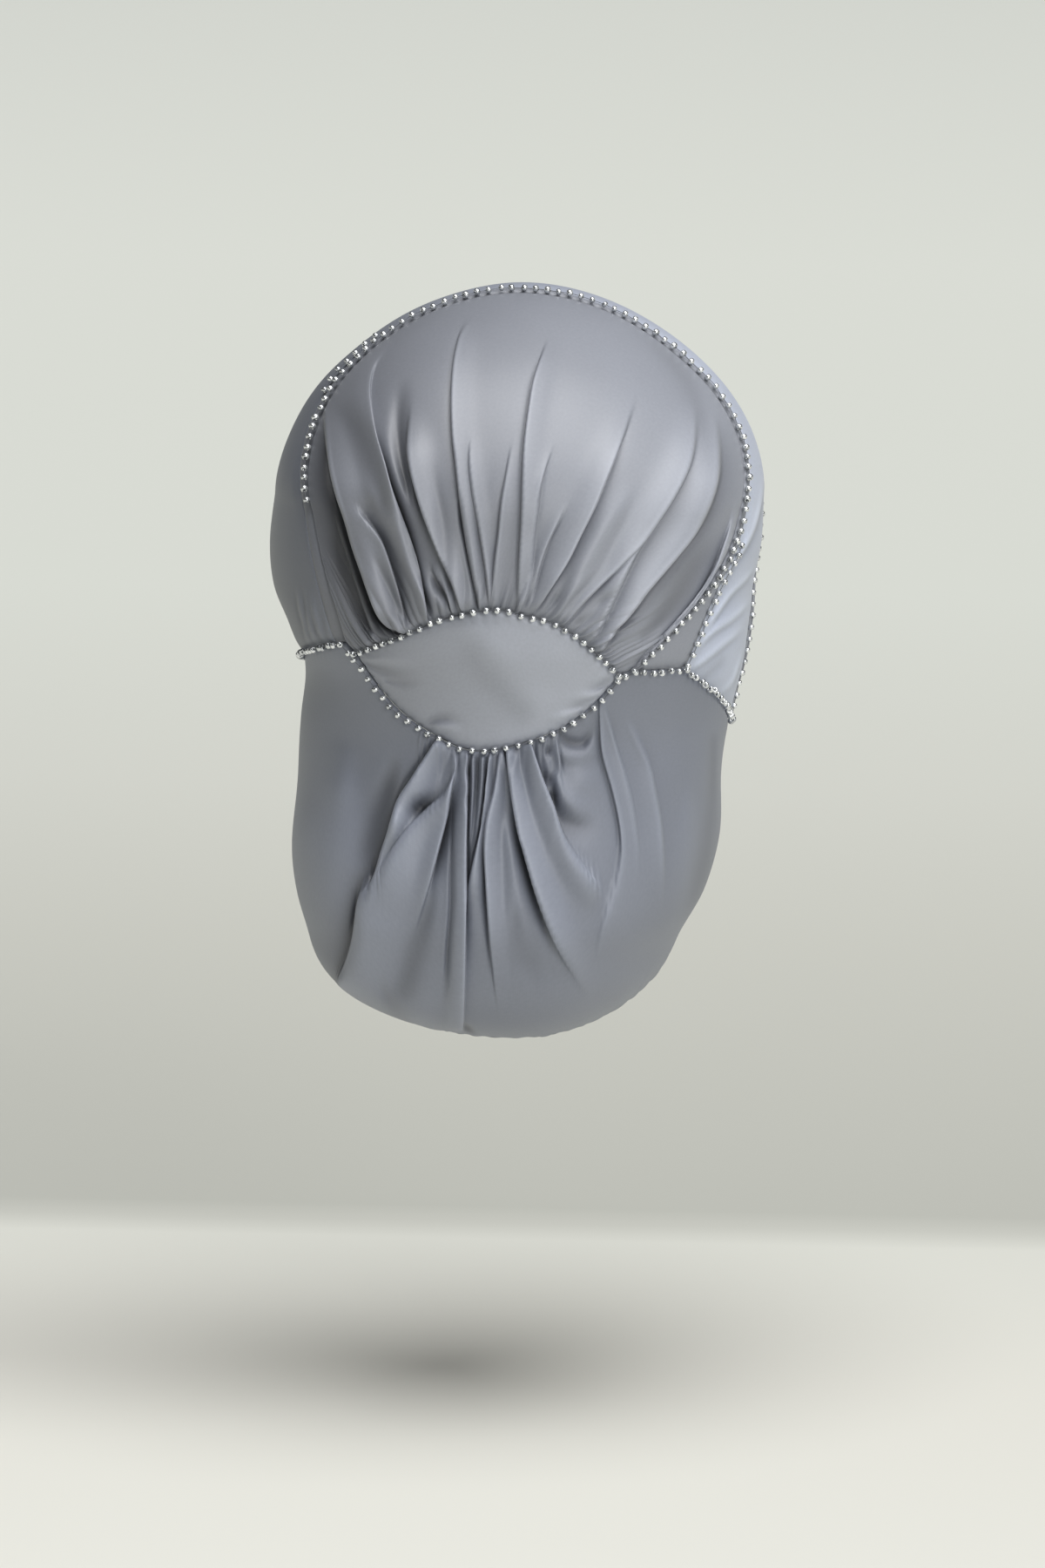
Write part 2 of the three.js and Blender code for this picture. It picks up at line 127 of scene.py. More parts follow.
def aim(thing: bpy.types.Object, back: Vector) -> None:
    """Turn a light or a camera so that the given direction is behind it."""
    thing.rotation_mode = "QUATERNION"
    thing.rotation_quaternion = (-back).to_track_quat("-Z", "Y")


@dataclass(frozen=True)
class Section:
    """A level section through the form, in millimetres."""

    z: float
    left: float
    right: float
    back: float
    front: float


class Form:
    """The smooth form of the turban when it is filled by a head and hair, in millimetres."""

    TOP = 99.5
    WIDEST = 20.0
    POUCH_FULL = -152.0
    BOTTOM = -193.0
    CROWN_ROUNDNESS = 1.8
    POUCH_ROUNDNESS = 1.9
    SECTION_ROUNDNESS = 2.15
    MIDDLE = np.array([0.0, 0.0, -35.0])
    EASE = 5.0
    REACH = (40.0, 260.0)
    HALVINGS = 26
    LEAST_CLOSING = 1e-4
    SLOPE_STEP = 0.02
    POLE_DEPTH = 0.06
    SECTIONS = (
        Section(z=-152, left=82, right=63, back=103, front=48),
        Section(z=-136, left=86, right=72.5, back=107, front=50),
        Section(z=-116, left=87.5, right=78, back=106, front=54),
        Section(z=-90, left=85, right=79, back=101, front=62),
        Section(z=-66, left=84, right=82.5, back=97, front=74),
        Section(z=-46, left=83, right=87.5, back=102, front=87),
        Section(z=-30, left=88.5, right=89.5, back=109.5, front=97),
        Section(z=-16, left=94.5, right=90.5, back=112, front=103),
        Section(z=0, left=96, right=93.5, back=112.5, front=105),
        Section(z=20, left=93.5, right=95, back=111, front=105),
    )

    def __init__(self) -> None:
        """Work out the slopes of the smooth curves through the sections."""
        self._levels = np.array([row.z for row in self.SECTIONS], float)
        self._widths = {}
        self._slopes = {}
        count = len(self.SECTIONS)
        before = np.maximum(np.arange(count) - 1, 0)
        after = np.minimum(np.arange(count) + 1, count - 1)
        for name in ("left", "right", "back", "front"):
            widths = np.array([getattr(row, name) for row in self.SECTIONS], float)
            self._widths[name] = widths
            rises = self._levels[after] - self._levels[before]
            self._slopes[name] = (widths[after] - widths[before]) / rises

    def half_width(self, name: str, z: Array) -> Array:
        """Half width of the form on one side at the given heights."""
        widths = self._widths[name]
        slopes = self._slopes[name]
        level = np.clip(z, self._levels[0], self._levels[-1])
        low = np.clip(np.searchsorted(self._levels, level) - 1, 0, len(self._levels) - 2)
        span = self._levels[low + 1] - self._levels[low]
        t = (level - self._levels[low]) / span
        rise = 3 * t**2 - 2 * t**3
        curve = widths[low] * (1 - rise) + widths[low + 1] * rise
        curve += span * (t**3 - 2 * t**2 + t) * slopes[low]
        curve += span * (t**3 - t**2) * slopes[low + 1]
        below = np.maximum(self._levels[0] - z, 0.0)
        return curve - slopes[0] * self.EASE * (1 - np.exp(-below / self.EASE))

    def closing(self, z: Array) -> Array:
        """How far the section has closed towards the top or bottom: 1 is full, 0 is shut."""
        up = np.clip((z - self.WIDEST) / (self.TOP - self.WIDEST), 0.0, 1.0)
        down = np.clip((self.POUCH_FULL - z) / (self.POUCH_FULL - self.BOTTOM), 0.0, 1.0)
        crown = (1 - up**self.CROWN_ROUNDNESS) ** (1 / self.CROWN_ROUNDNESS)
        return crown * (1 - down**self.POUCH_ROUNDNESS) ** (1 / self.POUCH_ROUNDNESS)

    def value(self, points: Array) -> Array:
        """Below zero inside the form and above zero outside it."""
        x, y, z = np.moveaxis(points, -1, 0)
        full = np.maximum(self.closing(z), self.LEAST_CLOSING)
        across = np.where(x > 0, self.half_width("left", z), self.half_width("right", z)) * full
        along = np.where(y > 0, self.half_width("back", z), self.half_width("front", z)) * full
        power = self.SECTION_ROUNDNESS
        return np.abs(x / across) ** power + np.abs(y / along) ** power - 1

    def point(self, directions: Array) -> Array:
        """Points of the form in directions from its middle."""
        near = np.full(directions.shape[:-1], self.REACH[0])
        far = np.full(directions.shape[:-1], self.REACH[1])
        for _ in range(self.HALVINGS):
            reach = (near + far) / 2
            points = self.MIDDLE + directions * reach[..., None]
            inside = self.value(points) < 0
            inside &= (points[..., 2] < self.TOP) & (points[..., 2] > self.BOTTOM)
            near = np.where(inside, reach, near)
            far = np.where(inside, far, reach)
        return self.MIDDLE + directions * near[..., None]

    def normal(self, points: Array) -> Array:
        """Outward normals of the form at points on it."""
        slopes = []
        for step in np.eye(3) * self.SLOPE_STEP:
            slopes.append(self.value(points + step) - self.value(points - step))
        normals = unit(np.stack(slopes, axis=-1))
        at_pole = points[..., 2] > self.TOP - self.POLE_DEPTH
        normals[at_pole] = (0.0, 0.0, 1.0)
        return normals


FORM = Form()


@dataclass(frozen=True)
class BackView:
    """The view in which the folds are drawn: millimetres across and up from the origin."""

    turn: float = 6.0
    rise: float = 7.7
    distance: float = 3500.0

    @property
    def towards_eye(self) -> Array:
        """Unit vector from the turban to the eye."""
        turn, rise = math.radians(self.turn), math.radians(self.rise)
        level = math.cos(rise)
        return np.array([-math.sin(turn) * level, math.cos(turn) * level, math.sin(rise)])

    @property
    def right(self) -> Array:
        """Unit vector to the viewer's right."""
        turn = math.radians(self.turn)
        return np.array([-math.cos(turn), -math.sin(turn), 0.0])

    @property
    def up(self) -> Array:
        """Unit vector up in the view."""
        return np.cross(self.towards_eye, self.right)

    def places(self, points: Array) -> Array:
        """Where points lie on the view."""
        shrink = self.distance / (self.distance - points @ self.towards_eye)
        return np.stack([points @ self.right * shrink, points @ self.up * shrink], axis=-1)


VIEW = BackView()


class Seam:
    """A line on the form: directions from its middle, by fraction of its length."""

    SAMPLES = 60
    FAN_SAMPLES = 400
    LEAST_POINTS = 8

    def __init__(
        self, directions: Array, lengths: Array | None = None, corners: tuple[float, ...] = ()
    ) -> None:
        """Keep the directions and how far along the seam each one is.

        Args:
            directions: Unit vectors along the seam.
            lengths: Length from the start to each; measured on the form where it is left out.
            corners: Lengths at which the seam has corners, besides its ends.
        """
        self.directions = unit(directions)
        if lengths is None:
            steps = np.linalg.norm(np.diff(FORM.point(self.directions), axis=0), axis=1)
            lengths = np.concatenate([[0.0], np.cumsum(steps)])
        self.lengths = lengths
        self.length = float(lengths[-1])
        self.corners = corners

    @classmethod
    def smooth(cls, points: list[tuple[float, float, float]]) -> Seam:
        """A smooth seam through points, which are first laid on the form."""
        laid = FORM.point(unit(np.array(points, float) - FORM.MIDDLE))
        ends = np.concatenate([[2 * laid[0] - laid[1]], laid, [2 * laid[-1] - laid[-2]]])
        t = np.linspace(0.0, 1.0, cls.SAMPLES, endpoint=False)[:, None]
        stretches = []
        for i in range(len(laid) - 1):
            p0, p1, p2, p3 = ends[i : i + 4]
            pairs = ((p0, p1), (p1, p2), (p2, p3))
            gaps = [math.sqrt(float(np.linalg.norm(b - a))) for a, b in pairs]
            leave = (p1 - p0) / gaps[0] - (p2 - p0) / (gaps[0] + gaps[1]) + (p2 - p1) / gaps[1]
            arrive = (p2 - p1) / gaps[1] - (p3 - p1) / (gaps[1] + gaps[2]) + (p3 - p2) / gaps[2]
            stretches.append(smooth_piece(p1, p2, leave * gaps[1], arrive * gaps[1], t))
        line = np.concatenate([*stretches, laid[-1:]])
        steps = np.linalg.norm(np.diff(line, axis=0), axis=1)
        return cls(line - FORM.MIDDLE, np.concatenate([[0.0], np.cumsum(steps)]))

    @classmethod
    def straight(cls, start: Array, end: Array) -> Seam:
        """A straight seam, the shortest arc between two directions."""
        fractions = np.linspace(0.0, 1.0, cls.SAMPLES)
        directions = arc_between(start[None], end[None], fractions)
        chord = float(np.linalg.norm(FORM.point(start[None]) - FORM.point(end[None])))
        return cls(directions, fractions * chord)

    @classmethod
    def joined(cls, *parts: Seam) -> Seam:
        """Several seams one after another, with a corner where two of them meet."""
        done = 0.0
        directions, lengths, corners = [], [], []
        for part in parts:
            directions.append(part.directions)
            lengths.append(part.lengths + done)
            corners.extend(corner + done for corner in part.corners)
            done += part.length
            corners.append(done)
        return cls(np.concatenate(directions), np.concatenate(lengths), tuple(corners[:-1]))

    def at(self, fractions: Array) -> Array:
        """Directions at fractions of the length."""
        wanted = np.clip(fractions, 0.0, 1.0) * self.length
        columns = [np.interp(wanted, self.lengths, self.directions[:, axis]) for axis in range(3)]
        return unit(np.stack(columns, axis=-1))

    def part(self, start: float, end: float) -> Seam:
        """The stretch of the seam between two fractions of its length."""
        span = (end - start) * self.length
        count = max(int(self.length * (end - start)), self.LEAST_POINTS)
        return Seam(self.at(np.linspace(start, end, count)), np.linspace(0.0, span, count))

    def reversed(self) -> Seam:
        """The same seam, from its end to its start."""
        corners = tuple(self.length - corner for corner in reversed(self.corners))
        return Seam(self.directions[::-1], self.length - self.lengths[::-1], corners)

    def fanned(self, fan: float) -> Seam:
        """The seam with its fractions moved off its ends, so that lines to its middle fan out."""
        fractions = np.linspace(0.0, 1.0, self.FAN_SAMPLES)
        moved = fractions - fan * np.sin(2 * math.pi * fractions) / (2 * math.pi)
        return Seam(self.at(moved), fractions * self.length)

    def columns(self, count: int, shares: dict[int, float] | None = None) -> Array:
        """Fractions for the columns of a panel, with one column at each corner of the seam.

        Args:
            count: Number of columns in all.
            shares: How many times denser the columns are on the stretches given by their index.

        Returns:
            The fractions, from 0 to 1.
        """
        edges = [0.0, *self.corners, self.length]
        spans = np.diff(edges)
        weights = spans * [(shares or {}).get(i, 1.0) for i in range(len(spans))]
        fractions = [np.zeros(1)]
        for start, span, weight in zip(edges, spans, weights):
            steps = max(round(count * weight / weights.sum()), 1)
            fractions.append((start + span * np.arange(1, steps + 1) / steps) / self.length)
        return np.concatenate(fractions)


class SeamPlan:
    """Every seam of the turban, from points near the form in millimetres."""

    CROWN = [
        (58, 87, -29), (62, 89, -12), (70, 79, 14), (74, 67, 34), (71, 52, 54), (60, 37, 72),
        (40, 25, 88), (14, 17, 97), (-14, 13, 98), (-38, 12, 91), (-60, 14, 78), (-78, 15, 60),
        (-88, 22, 42), (-91, 36, 23), (-87, 48, 4), (-77, 64, -12), (-63, 81, -27), (-52, 89, -38),
    ]
    STRIP = [
        (62, 83, -30), (67, 84, -12), (74, 74, 15), (78, 61, 35), (75, 46, 55), (63, 31, 73),
        (42, 20, 88), (15, 12, 97), (-14, 8, 97), (-39, 7, 91), (-62, 9, 77), (-80, 10, 60),
        (-89, 16, 42), (-92, 30, 23), (-90, 41, 5), (-84, 52, -8), (-77, 63, -25), (-71, 68, -40),
    ]
    BAND = [
        (86, -15, -50), (91, -9, -20), (92, -12, 10), (84, -26, 48), (56, -42, 76), (0, -52, 88),
        (-50, -50, 76), (-78, -49, 50), (-90, -36, 14), (-90, -22, -20), (-85, -12, -74),
    ]
    BROW = [
        (85, -46, -56), (84, -62, -28), (66, -84, -12), (36, -99, -6), (0, -105, -5),
        (-36, -99, -6), (-66, -84, -14), (-84, -62, -38), (-84, -46, -80),
    ]
    PATCH_TOP = [
        (54, 89, -33), (37, 103, -25), (20, 110, -17), (7, 112, -13), (-5, 112, -12),
        (-13, 111, -14), (-26, 108, -18), (-37, 102, -27), (-48, 91, -40),
    ]
    PATCH_BOTTOM = [
        (54, 89, -33), (46, 88, -44), (37, 91, -54), (24, 94, -62), (12, 96, -67),
        (2, 97, -68), (-11, 96, -65), (-25, 94, -60), (-38, 92, -51), (-48, 91, -40),
    ]
    NECK = [
        (63, -12, -168), (54, 8, -180), (38, 30, -187), (0, 46, -191),
        (-36, 30, -186), (-50, 8, -178), (-58, -12, -166),
    ]
    OPENING_MIDDLE = (0, -60, -80)
    HEM_WIDTH = 9.0
    POUCH_FAN = 0.75

    def __init__(self) -> None:
        """Lay the seams on the form and join those that follow one another."""
        self.crown = Seam.smooth(self.CROWN)
        self.strip = Seam.smooth(self.STRIP)
        self.band = Seam.smooth(self.BAND)
        self.brow = Seam.smooth(self.BROW)
        self.patch_top = Seam.smooth(self.PATCH_TOP)
        self.patch_bottom = Seam.smooth(self.PATCH_BOTTOM)
        self.neck = Seam.smooth(self.NECK)
        self.left = Seam.joined(
            self._between(self.band, 0, self.strip, 0),
            self._between(self.strip, 0, self.crown, 0),
            self._between(self.crown, 0, self.patch_top, 0),
        )
        self.right = Seam.joined(
            self._between(self.patch_top, 1, self.crown, 1),
            self._between(self.crown, 1, self.strip, 1),
            self._between(self.strip, 1, self.band, 1),
        )
        self.pouch_top = Seam.joined(
            self._between(self.brow, 0, self.band, 0),
            self.left,
            self.patch_bottom,
            self.right,
            self._between(self.band, 1, self.brow, 1),
        )
        self.neck_fanned = self.neck.fanned(self.POUCH_FAN)
        self.hem_outer = Seam.joined(
            self.brow,
            self._between(self.brow, 1, self.neck, 1),
            self.neck.reversed(),
            self._between(self.neck, 0, self.brow, 0),
        )
        self.hem_inner = self._moved_in(self.hem_outer)

    @staticmethod
    def _between(first: Seam, first_end: int, second: Seam, second_end: int) -> Seam:
        """A straight seam from one seam's end to another's; 0 is a start and 1 an end."""
        return Seam.straight(first.directions[-first_end], second.directions[-second_end])

    def _moved_in(self, line: Seam) -> Seam:
        """The hem's line moved into the opening by the hem's width."""
        middle = unit(np.array(self.OPENING_MIDDLE, float) - FORM.MIDDLE)
        radius = np.linalg.norm(FORM.point(line.directions) - FORM.MIDDLE, axis=-1)
        angle = np.arccos(np.clip(line.directions @ middle, -1.0, 1.0))
        fraction = self.HEM_WIDTH / radius / angle
        return Seam(arc_between(line.directions, middle[None], fraction), line.lengths)


@dataclass(frozen=True)
class Fold:
    """A fold drawn on the back view, from the gathered edge outwards, in millimetres.

    A negative height draws a valley. The crest leans over the crease on the steep side.
    """

    path: Path
    width: float
    height: float
    steep: Side = Side.EVEN
    crease: float = 0.0
    lean: float = 0.0
    start: float = 0.6
    fade: float = 0.35
    narrow: float = 0.45
    power: float = 2.0
    tail: float = 0.16
    creased: tuple[float, float] = (-1.0, 2.0)

    STEEP_SHARE = 0.07
    LEAST_STEEP = 0.6
    LEAST_TAIL = 0.5
    CREASE_END = 0.15
    RIM = 0.45
    RIM_WIDTH = 0.7
    RIM_LIGHT = 1.9
    CROWDING = 0.45
    CROWDING_REACH = 2.6
    CROWDING_START = (0.04, 0.3)
    CROWDING_END = (0.85, 1.0)
    STEPS = 8
    WIDENING = 0.45
    GROWTH = 0.18
    LEAN_SHARE = 0.6
    LEAN_FALL = 0.7

    def line(self) -> Array:
        """The path as a smooth line of short straight pieces."""
        points = np.array(self.path, float)
        padded = np.concatenate([points[:1], points, points[-1:]])
        t = np.linspace(0.0, 1.0, self.STEPS, endpoint=False)[:, None]
        stretches = []
        for p0, p1, p2, p3 in zip(padded, padded[1:], padded[2:], padded[3:]):
            stretches.append(smooth_piece(p1, p2, (p2 - p0) / 2, (p3 - p1) / 2, t))
        return np.concatenate([*stretches, points[-1:]])

    def _beside(self, places: Array) -> tuple[Array, Array, Array]:
        """Where places lie beside the fold.

        Args:
            places: An array of places, one row each.

        Returns:
            How far right of the fold, how far along it from 0 to 1, and the way to its right.
        """
        line = self.line()
        starts, pieces = line[:-1], np.diff(line, axis=0)
        offset = places[:, None, :] - starts[None]
        t = np.clip(np.sum(offset * pieces, axis=-1) / np.sum(pieces**2, axis=-1), 0.0, 1.0)
        gap = offset - t[..., None] * pieces
        distance = np.linalg.norm(gap, axis=-1)
        nearest = np.argmin(distance, axis=1)
        rows = np.arange(len(places))
        piece = pieces[nearest]
        beside = offset[rows, nearest]
        heading = 1.0 if line[-1, 1] >= line[0, 1] else -1.0
        turn = piece[:, 0] * beside[:, 1] - piece[:, 1] * beside[:, 0]
        to_right = distance[rows, nearest] * -np.sign(turn) * heading
        along = (nearest + t[rows, nearest]) / len(pieces)
        return to_right, along, unit(np.stack([piece[:, 1], -piece[:, 0]], axis=-1)) * heading

    def crowd(self, places: Array) -> Array:
        """How far places are drawn to the steep side, so that it gets more of the columns."""
        to_right, along, right = self._beside(places)
        off = to_right - self.steep.value * self.LEAST_STEEP
        pull = self.CROWDING * smooth_step(along, *self.CROWDING_START)
        pull *= 1 - smooth_step(along, *self.CROWDING_END)
        return right * (-pull * off * np.exp(-((off / self.CROWDING_REACH) ** 2)))[:, None]

    def shape(self, places: Array) -> tuple[Array, Array, Array, Array]:
        """What the fold does to cloth at places on the back view.

        Args:
            places: An array of places, one row each.

        Returns:
            The ridge's height, its crease's depth, its lean across the view and the painted
            highlight on its rim.
        """
        to_right, along, right = self._beside(places)
        widened = smooth_step(along, 0.0, self.WIDENING)
        width = self.width * (self.narrow + (1 - self.narrow) * widened)
        strength = self.start + (1 - self.start) * smooth_step(along, 0.0, self.GROWTH)
        strength = strength * (1 - smooth_step(along, 1 - self.fade, 1.0))
        sharp = self.steep.value * to_right
        gentle = np.exp(-(np.abs(to_right) / (width / 2)) ** self.power)
        if self.steep is Side.EVEN:
            ridge, valley, lean, rim = gentle, *np.zeros((3, *gentle.shape))
        else:
            fall = np.maximum(width * self.STEEP_SHARE, self.LEAST_STEEP)
            drop = 0.5 - 0.5 * np.cos(math.pi * np.clip(sharp / fall, 0.0, 1.0))
            rim = np.exp(-(((sharp + self.RIM_WIDTH) / self.RIM_WIDTH) ** 2)) * (1 - drop)
            ridge = np.where(sharp < 0, gentle, 1 - drop) + rim * self.RIM / abs(self.height)
            rest = np.maximum(sharp - fall, 0.0) / np.maximum(width * self.tail, self.LEAST_TAIL)
            valley = np.where(sharp < 0, 0.0, drop * np.exp(-rest))
            opens, shuts = self.creased
            valley *= smooth_step(along, opens - self.CREASE_END, opens + self.CREASE_END)
            valley *= 1 - smooth_step(along, shuts - self.CREASE_END, shuts + self.CREASE_END)
            near = np.exp(-((sharp / (self.LEAN_SHARE * width / 2)) ** 2))
            lean = np.where(sharp < 0, near, (1 - drop) ** self.LEAN_FALL)
        ridge, valley = ridge * abs(self.height) * strength, valley * self.crease * strength
        if self.height < 0:
            ridge, valley = np.zeros_like(ridge), valley + ridge
        shift = right * (lean * self.lean * strength * self.steep.value)[:, None]
        return ridge, valley, shift, rim * strength * self.RIM_LIGHT


@dataclass(frozen=True)
class Hollow:
    """A rounded hollow in the cloth, or a lump where its depth is negative."""

    place: tuple[float, float]
    size: tuple[float, float]
    depth: float
    turn: float = 0.0

    ROUNDNESS = 1.2

    def depths(self, places: Array) -> Array:
        """Depth of the hollow at places on the back view."""
        turn = math.radians(self.turn)
        offset = places - np.array(self.place)
        across = (offset[:, 0] * math.cos(turn) + offset[:, 1] * math.sin(turn)) / self.size[0]
        along = (offset[:, 1] * math.cos(turn) - offset[:, 0] * math.sin(turn)) / self.size[1]
        return self.depth * np.exp(-((across**2 + along**2) ** self.ROUNDNESS))


@dataclass
class PanelGrid:
    """The points of one panel on the plain form, with what its relief is worked out from."""

    points: Array
    normals: Array
    u: Array
    v: Array
    from_start: Array
    from_end: Array
    from_side: Array
    painted_shading: Array


class Relief:
    """A kind of relief in the cloth of a panel."""

    def crowd(self, points: Array, normals: Array) -> Array:
        """The points moved to where the relief needs them most."""
        return points

    def lift(self, grid: PanelGrid) -> tuple[Array, Array]:
        """Height above the form and sideways shift at each point of a grid."""
        raise NotImplementedError


@dataclass
class DrawnFolds(Relief):
    """Folds and hollows drawn on the back view."""

    folds: list[Fold]
    hollows: list[Hollow] = field(default_factory=list)
    union: float = 2.5
    margin: float = 26.0
    # How much of the ridges' height turns into painted highlight on the satin.
    lit: float = 0.4

    CROWDED_FACING = (0.1, 0.4)
    DRAWN_FACING = (-0.25, 0.15)

    def _near(self, fold: Fold, places: Array) -> Array:
        """Which places a fold can reach."""
        path = np.array(fold.path)
        near = np.all(places > path.min(axis=0) - self.margin, axis=1)
        return near & np.all(places < path.max(axis=0) + self.margin, axis=1)

    def crowd(self, points: Array, normals: Array) -> Array:
        """Move points towards the steep sides of the folds and lay them on the form again."""
        places = VIEW.places(points).reshape(-1, 2)
        facing = smooth_step(normals @ VIEW.towards_eye, *self.CROWDED_FACING).reshape(-1, 1)
        moves = np.zeros((len(places), 2))
        for fold in self.folds:
            if fold.steep is not Side.EVEN:
                near = self._near(fold, places)
                moves[near] += fold.crowd(places[near])
        moves *= facing
        across = moves[:, :1] * VIEW.right + moves[:, 1:] * VIEW.up
        moved = FORM.point(unit(points.reshape(-1, 3) + across - FORM.MIDDLE)).reshape(points.shape)
        moved[[0, -1]] = points[[0, -1]]
        moved[:, [0, -1]] = points[:, [0, -1]]
        return moved

    def lift(self, grid: PanelGrid) -> tuple[Array, Array]:
        """Join the ridges and the creases of all the folds, and raise them towards the eye."""
        shape = grid.points.shape[:-1]
        places = VIEW.places(grid.points).reshape(-1, 2)
        facing = smooth_step(grid.normals @ VIEW.towards_eye, *self.DRAWN_FACING).reshape(-1)
        ridges, creases, rims = np.zeros((3, len(places)))
        shifts = np.zeros((len(places), 2))
        for fold in self.folds:
            near = self._near(fold, places) & (facing > 0)
            ridge, crease, shift, rim = fold.shape(places[near])
            rims[near] = np.maximum(rims[near], rim)
            ridges[near] += ridge**self.union
            creases[near] += crease**self.union
            shifts[near] += shift
        ridges, creases = ridges ** (1 / self.union), creases ** (1 / self.union)
        for hollow in self.hollows:
            depths = hollow.depths(places)
            creases += np.maximum(depths, 0.0)
            ridges += np.maximum(-depths, 0.0)
        height = ridges - creases
        # Painted shade in the creases and painted highlight on the ridges and rims, kept for the
        # satin's colour.
        grid.painted_shading = ((creases - self.lit * ridges - rims) * facing).reshape(shape)
        across = shifts[:, :1] * VIEW.right + shifts[:, 1:] * VIEW.up
        normals = grid.normals.reshape(-1, 3)
        across -= normals * np.sum(across * normals, axis=-1, keepdims=True)
        move = across + height[:, None] * VIEW.towards_eye
        return np.zeros(shape), (move * facing[:, None]).reshape(*shape, 3)


@dataclass
class Gathers(Relief):
    """Small gathers that fan out of a seam and die away at different lengths."""

    stretch: tuple[float, float]
    count: int
    height: float
    reach: tuple[float, float]
    seed: int
    at_end: bool = False
    softness: float = 0.02

    END = 0.07
    WIDTHS = (0.55, 1.45)
    HEIGHTS = (0.35, 1.0)
    SWAY = 0.25
    SWAY_LENGTH = 7.0
    SWAY_TURNS = 9.0
    SWAY_REACH = (2.0, 14.0)
    ROUNDNESS = 1.7

    def lift(self, grid: PanelGrid) -> tuple[Array, Array]:
        """Give each gather a random width, height and length."""
        draw = np.random.default_rng(self.seed)
        edges = np.cumsum(draw.uniform(*self.WIDTHS, self.count + 1))
        edges = (edges - edges[0]) / (edges[-1] - edges[0])
        heights = draw.uniform(*self.HEIGHTS, self.count)
        reaches = draw.uniform(*self.reach, self.count)
        start, end = self.stretch
        along = (np.broadcast_to(grid.u, grid.v.shape) - start) / (end - start)
        away = grid.from_end if self.at_end else grid.from_start
        sway = self.SWAY / self.count * np.sin(away / self.SWAY_LENGTH + self.SWAY_TURNS * along)
        along = along + sway * smooth_step(away, *self.SWAY_REACH)
        cell = np.clip(np.searchsorted(edges, along) - 1, 0, self.count - 1)
        within = (along - edges[cell]) / (edges[cell + 1] - edges[cell])
        bump = 1 - np.abs(2 * np.clip(within, 0.0, 1.0) - 1) ** self.ROUNDNESS
        inside = smooth_step(along, 0.0, self.softness)
        inside = inside * (1 - smooth_step(along, 1 - self.softness, 1.0))
        fade = np.maximum(np.exp(-away / reaches[cell]) - self.END, 0.0)
        return self.height * heights[cell] * bump * fade * inside, np.zeros(grid.points.shape)


@dataclass
class LengthPleats(Relief):
    """Overlapping pleats that run the whole length of a band, each falling sharply to the next."""

    count: int
    height: float
    seed: int

    RISE = (0.0, 0.72)
    FALL = (0.84, 1.0)
    SWAY = 0.09
    FIRST_WAVE = 1.3
    SWELL = 0.16
    OVERLAP = 1.1

    def lift(self, grid: PanelGrid) -> tuple[Array, Array]:
        """Sway each pleat a little along its length."""
        draw = np.random.default_rng(self.seed)
        phases = draw.uniform(0.0, 2 * math.pi, 3)
        waves = 2 * math.pi * grid.u
        sway = sum(np.sin(waves * (k + self.FIRST_WAVE) + phase) for k, phase in enumerate(phases))
        position = self.count * grid.v + self.SWAY * sway * np.sin(math.pi * grid.v)
        within = position - np.floor(position)
        lap = smooth_step(within, *self.RISE) * (1 - smooth_step(within, *self.FALL))
        height = self.height * (lap + self.SWELL * np.sin(math.pi * within))
        down = np.gradient(grid.points, axis=1)
        return height, unit(down) * (self.OVERLAP * lap)[..., None]


@dataclass
class HemPuckers(Relief):
    """The small puckers of an elastic hem."""

    count: int
    height: float

    SWELL = 0.35
    SWELL_WAVES = (7, 3)
    SWELL_SHIFT = 1.1
    WANDER = 1.6
    WANDER_WAVES = 11

    def lift(self, grid: PanelGrid) -> tuple[Array, Array]:
        """Make the puckers uneven along the hem and deepest over the elastic."""
        round_hem = 2 * math.pi * grid.u
        first, second = self.SWELL_WAVES
        swell = self.SWELL * np.sin(first * round_hem + self.SWELL_SHIFT)
        swell = 1 - self.SWELL + swell * np.sin(second * round_hem)
        wave = np.cos(self.count * round_hem + self.WANDER * np.sin(self.WANDER_WAVES * round_hem))
        over_elastic = 0.5 + 0.5 * np.sin(math.pi * np.clip(grid.v, 0.0, 1.0))
        return self.height * swell * wave * over_elastic, np.zeros(grid.points.shape)


@dataclass
class SeamPuckers(Relief):
    """The slight puckers that stitches pull into the cloth beside a seam."""

    spacing: float = 4.5
    height: float = 0.28
    reach: float = 3.4
    at_end: bool = True

    WANDER = 1.3
    WANDER_LENGTH = 11.0
    SWELL = 0.4
    SWELL_LENGTH = 17.0
    EDGE_SHIFT = 2.0

    def lift(self, grid: PanelGrid) -> tuple[Array, Array]:
        """Follow the lengths along the panel's first and last rows."""
        height = np.zeros(grid.v.shape)
        edges = ((0, grid.from_start), (-1, grid.from_end))
        for row, away in edges[: 1 + self.at_end]:
            steps = np.linalg.norm(np.diff(grid.points[:, row], axis=0), axis=-1)
            length = np.concatenate([[0.0], np.cumsum(steps)])[:, None]
            wander = self.WANDER * np.sin(length / self.WANDER_LENGTH)
            phase = 2 * math.pi * length / self.spacing + wander
            swell = np.sin(length / self.SWELL_LENGTH + self.EDGE_SHIFT * row)
            swell = 1 - self.SWELL + self.SWELL * swell
            near = np.exp(-((away / self.reach) ** 2))
            height = height + self.height * swell * np.cos(phase) * near
        return height, np.zeros(grid.points.shape)


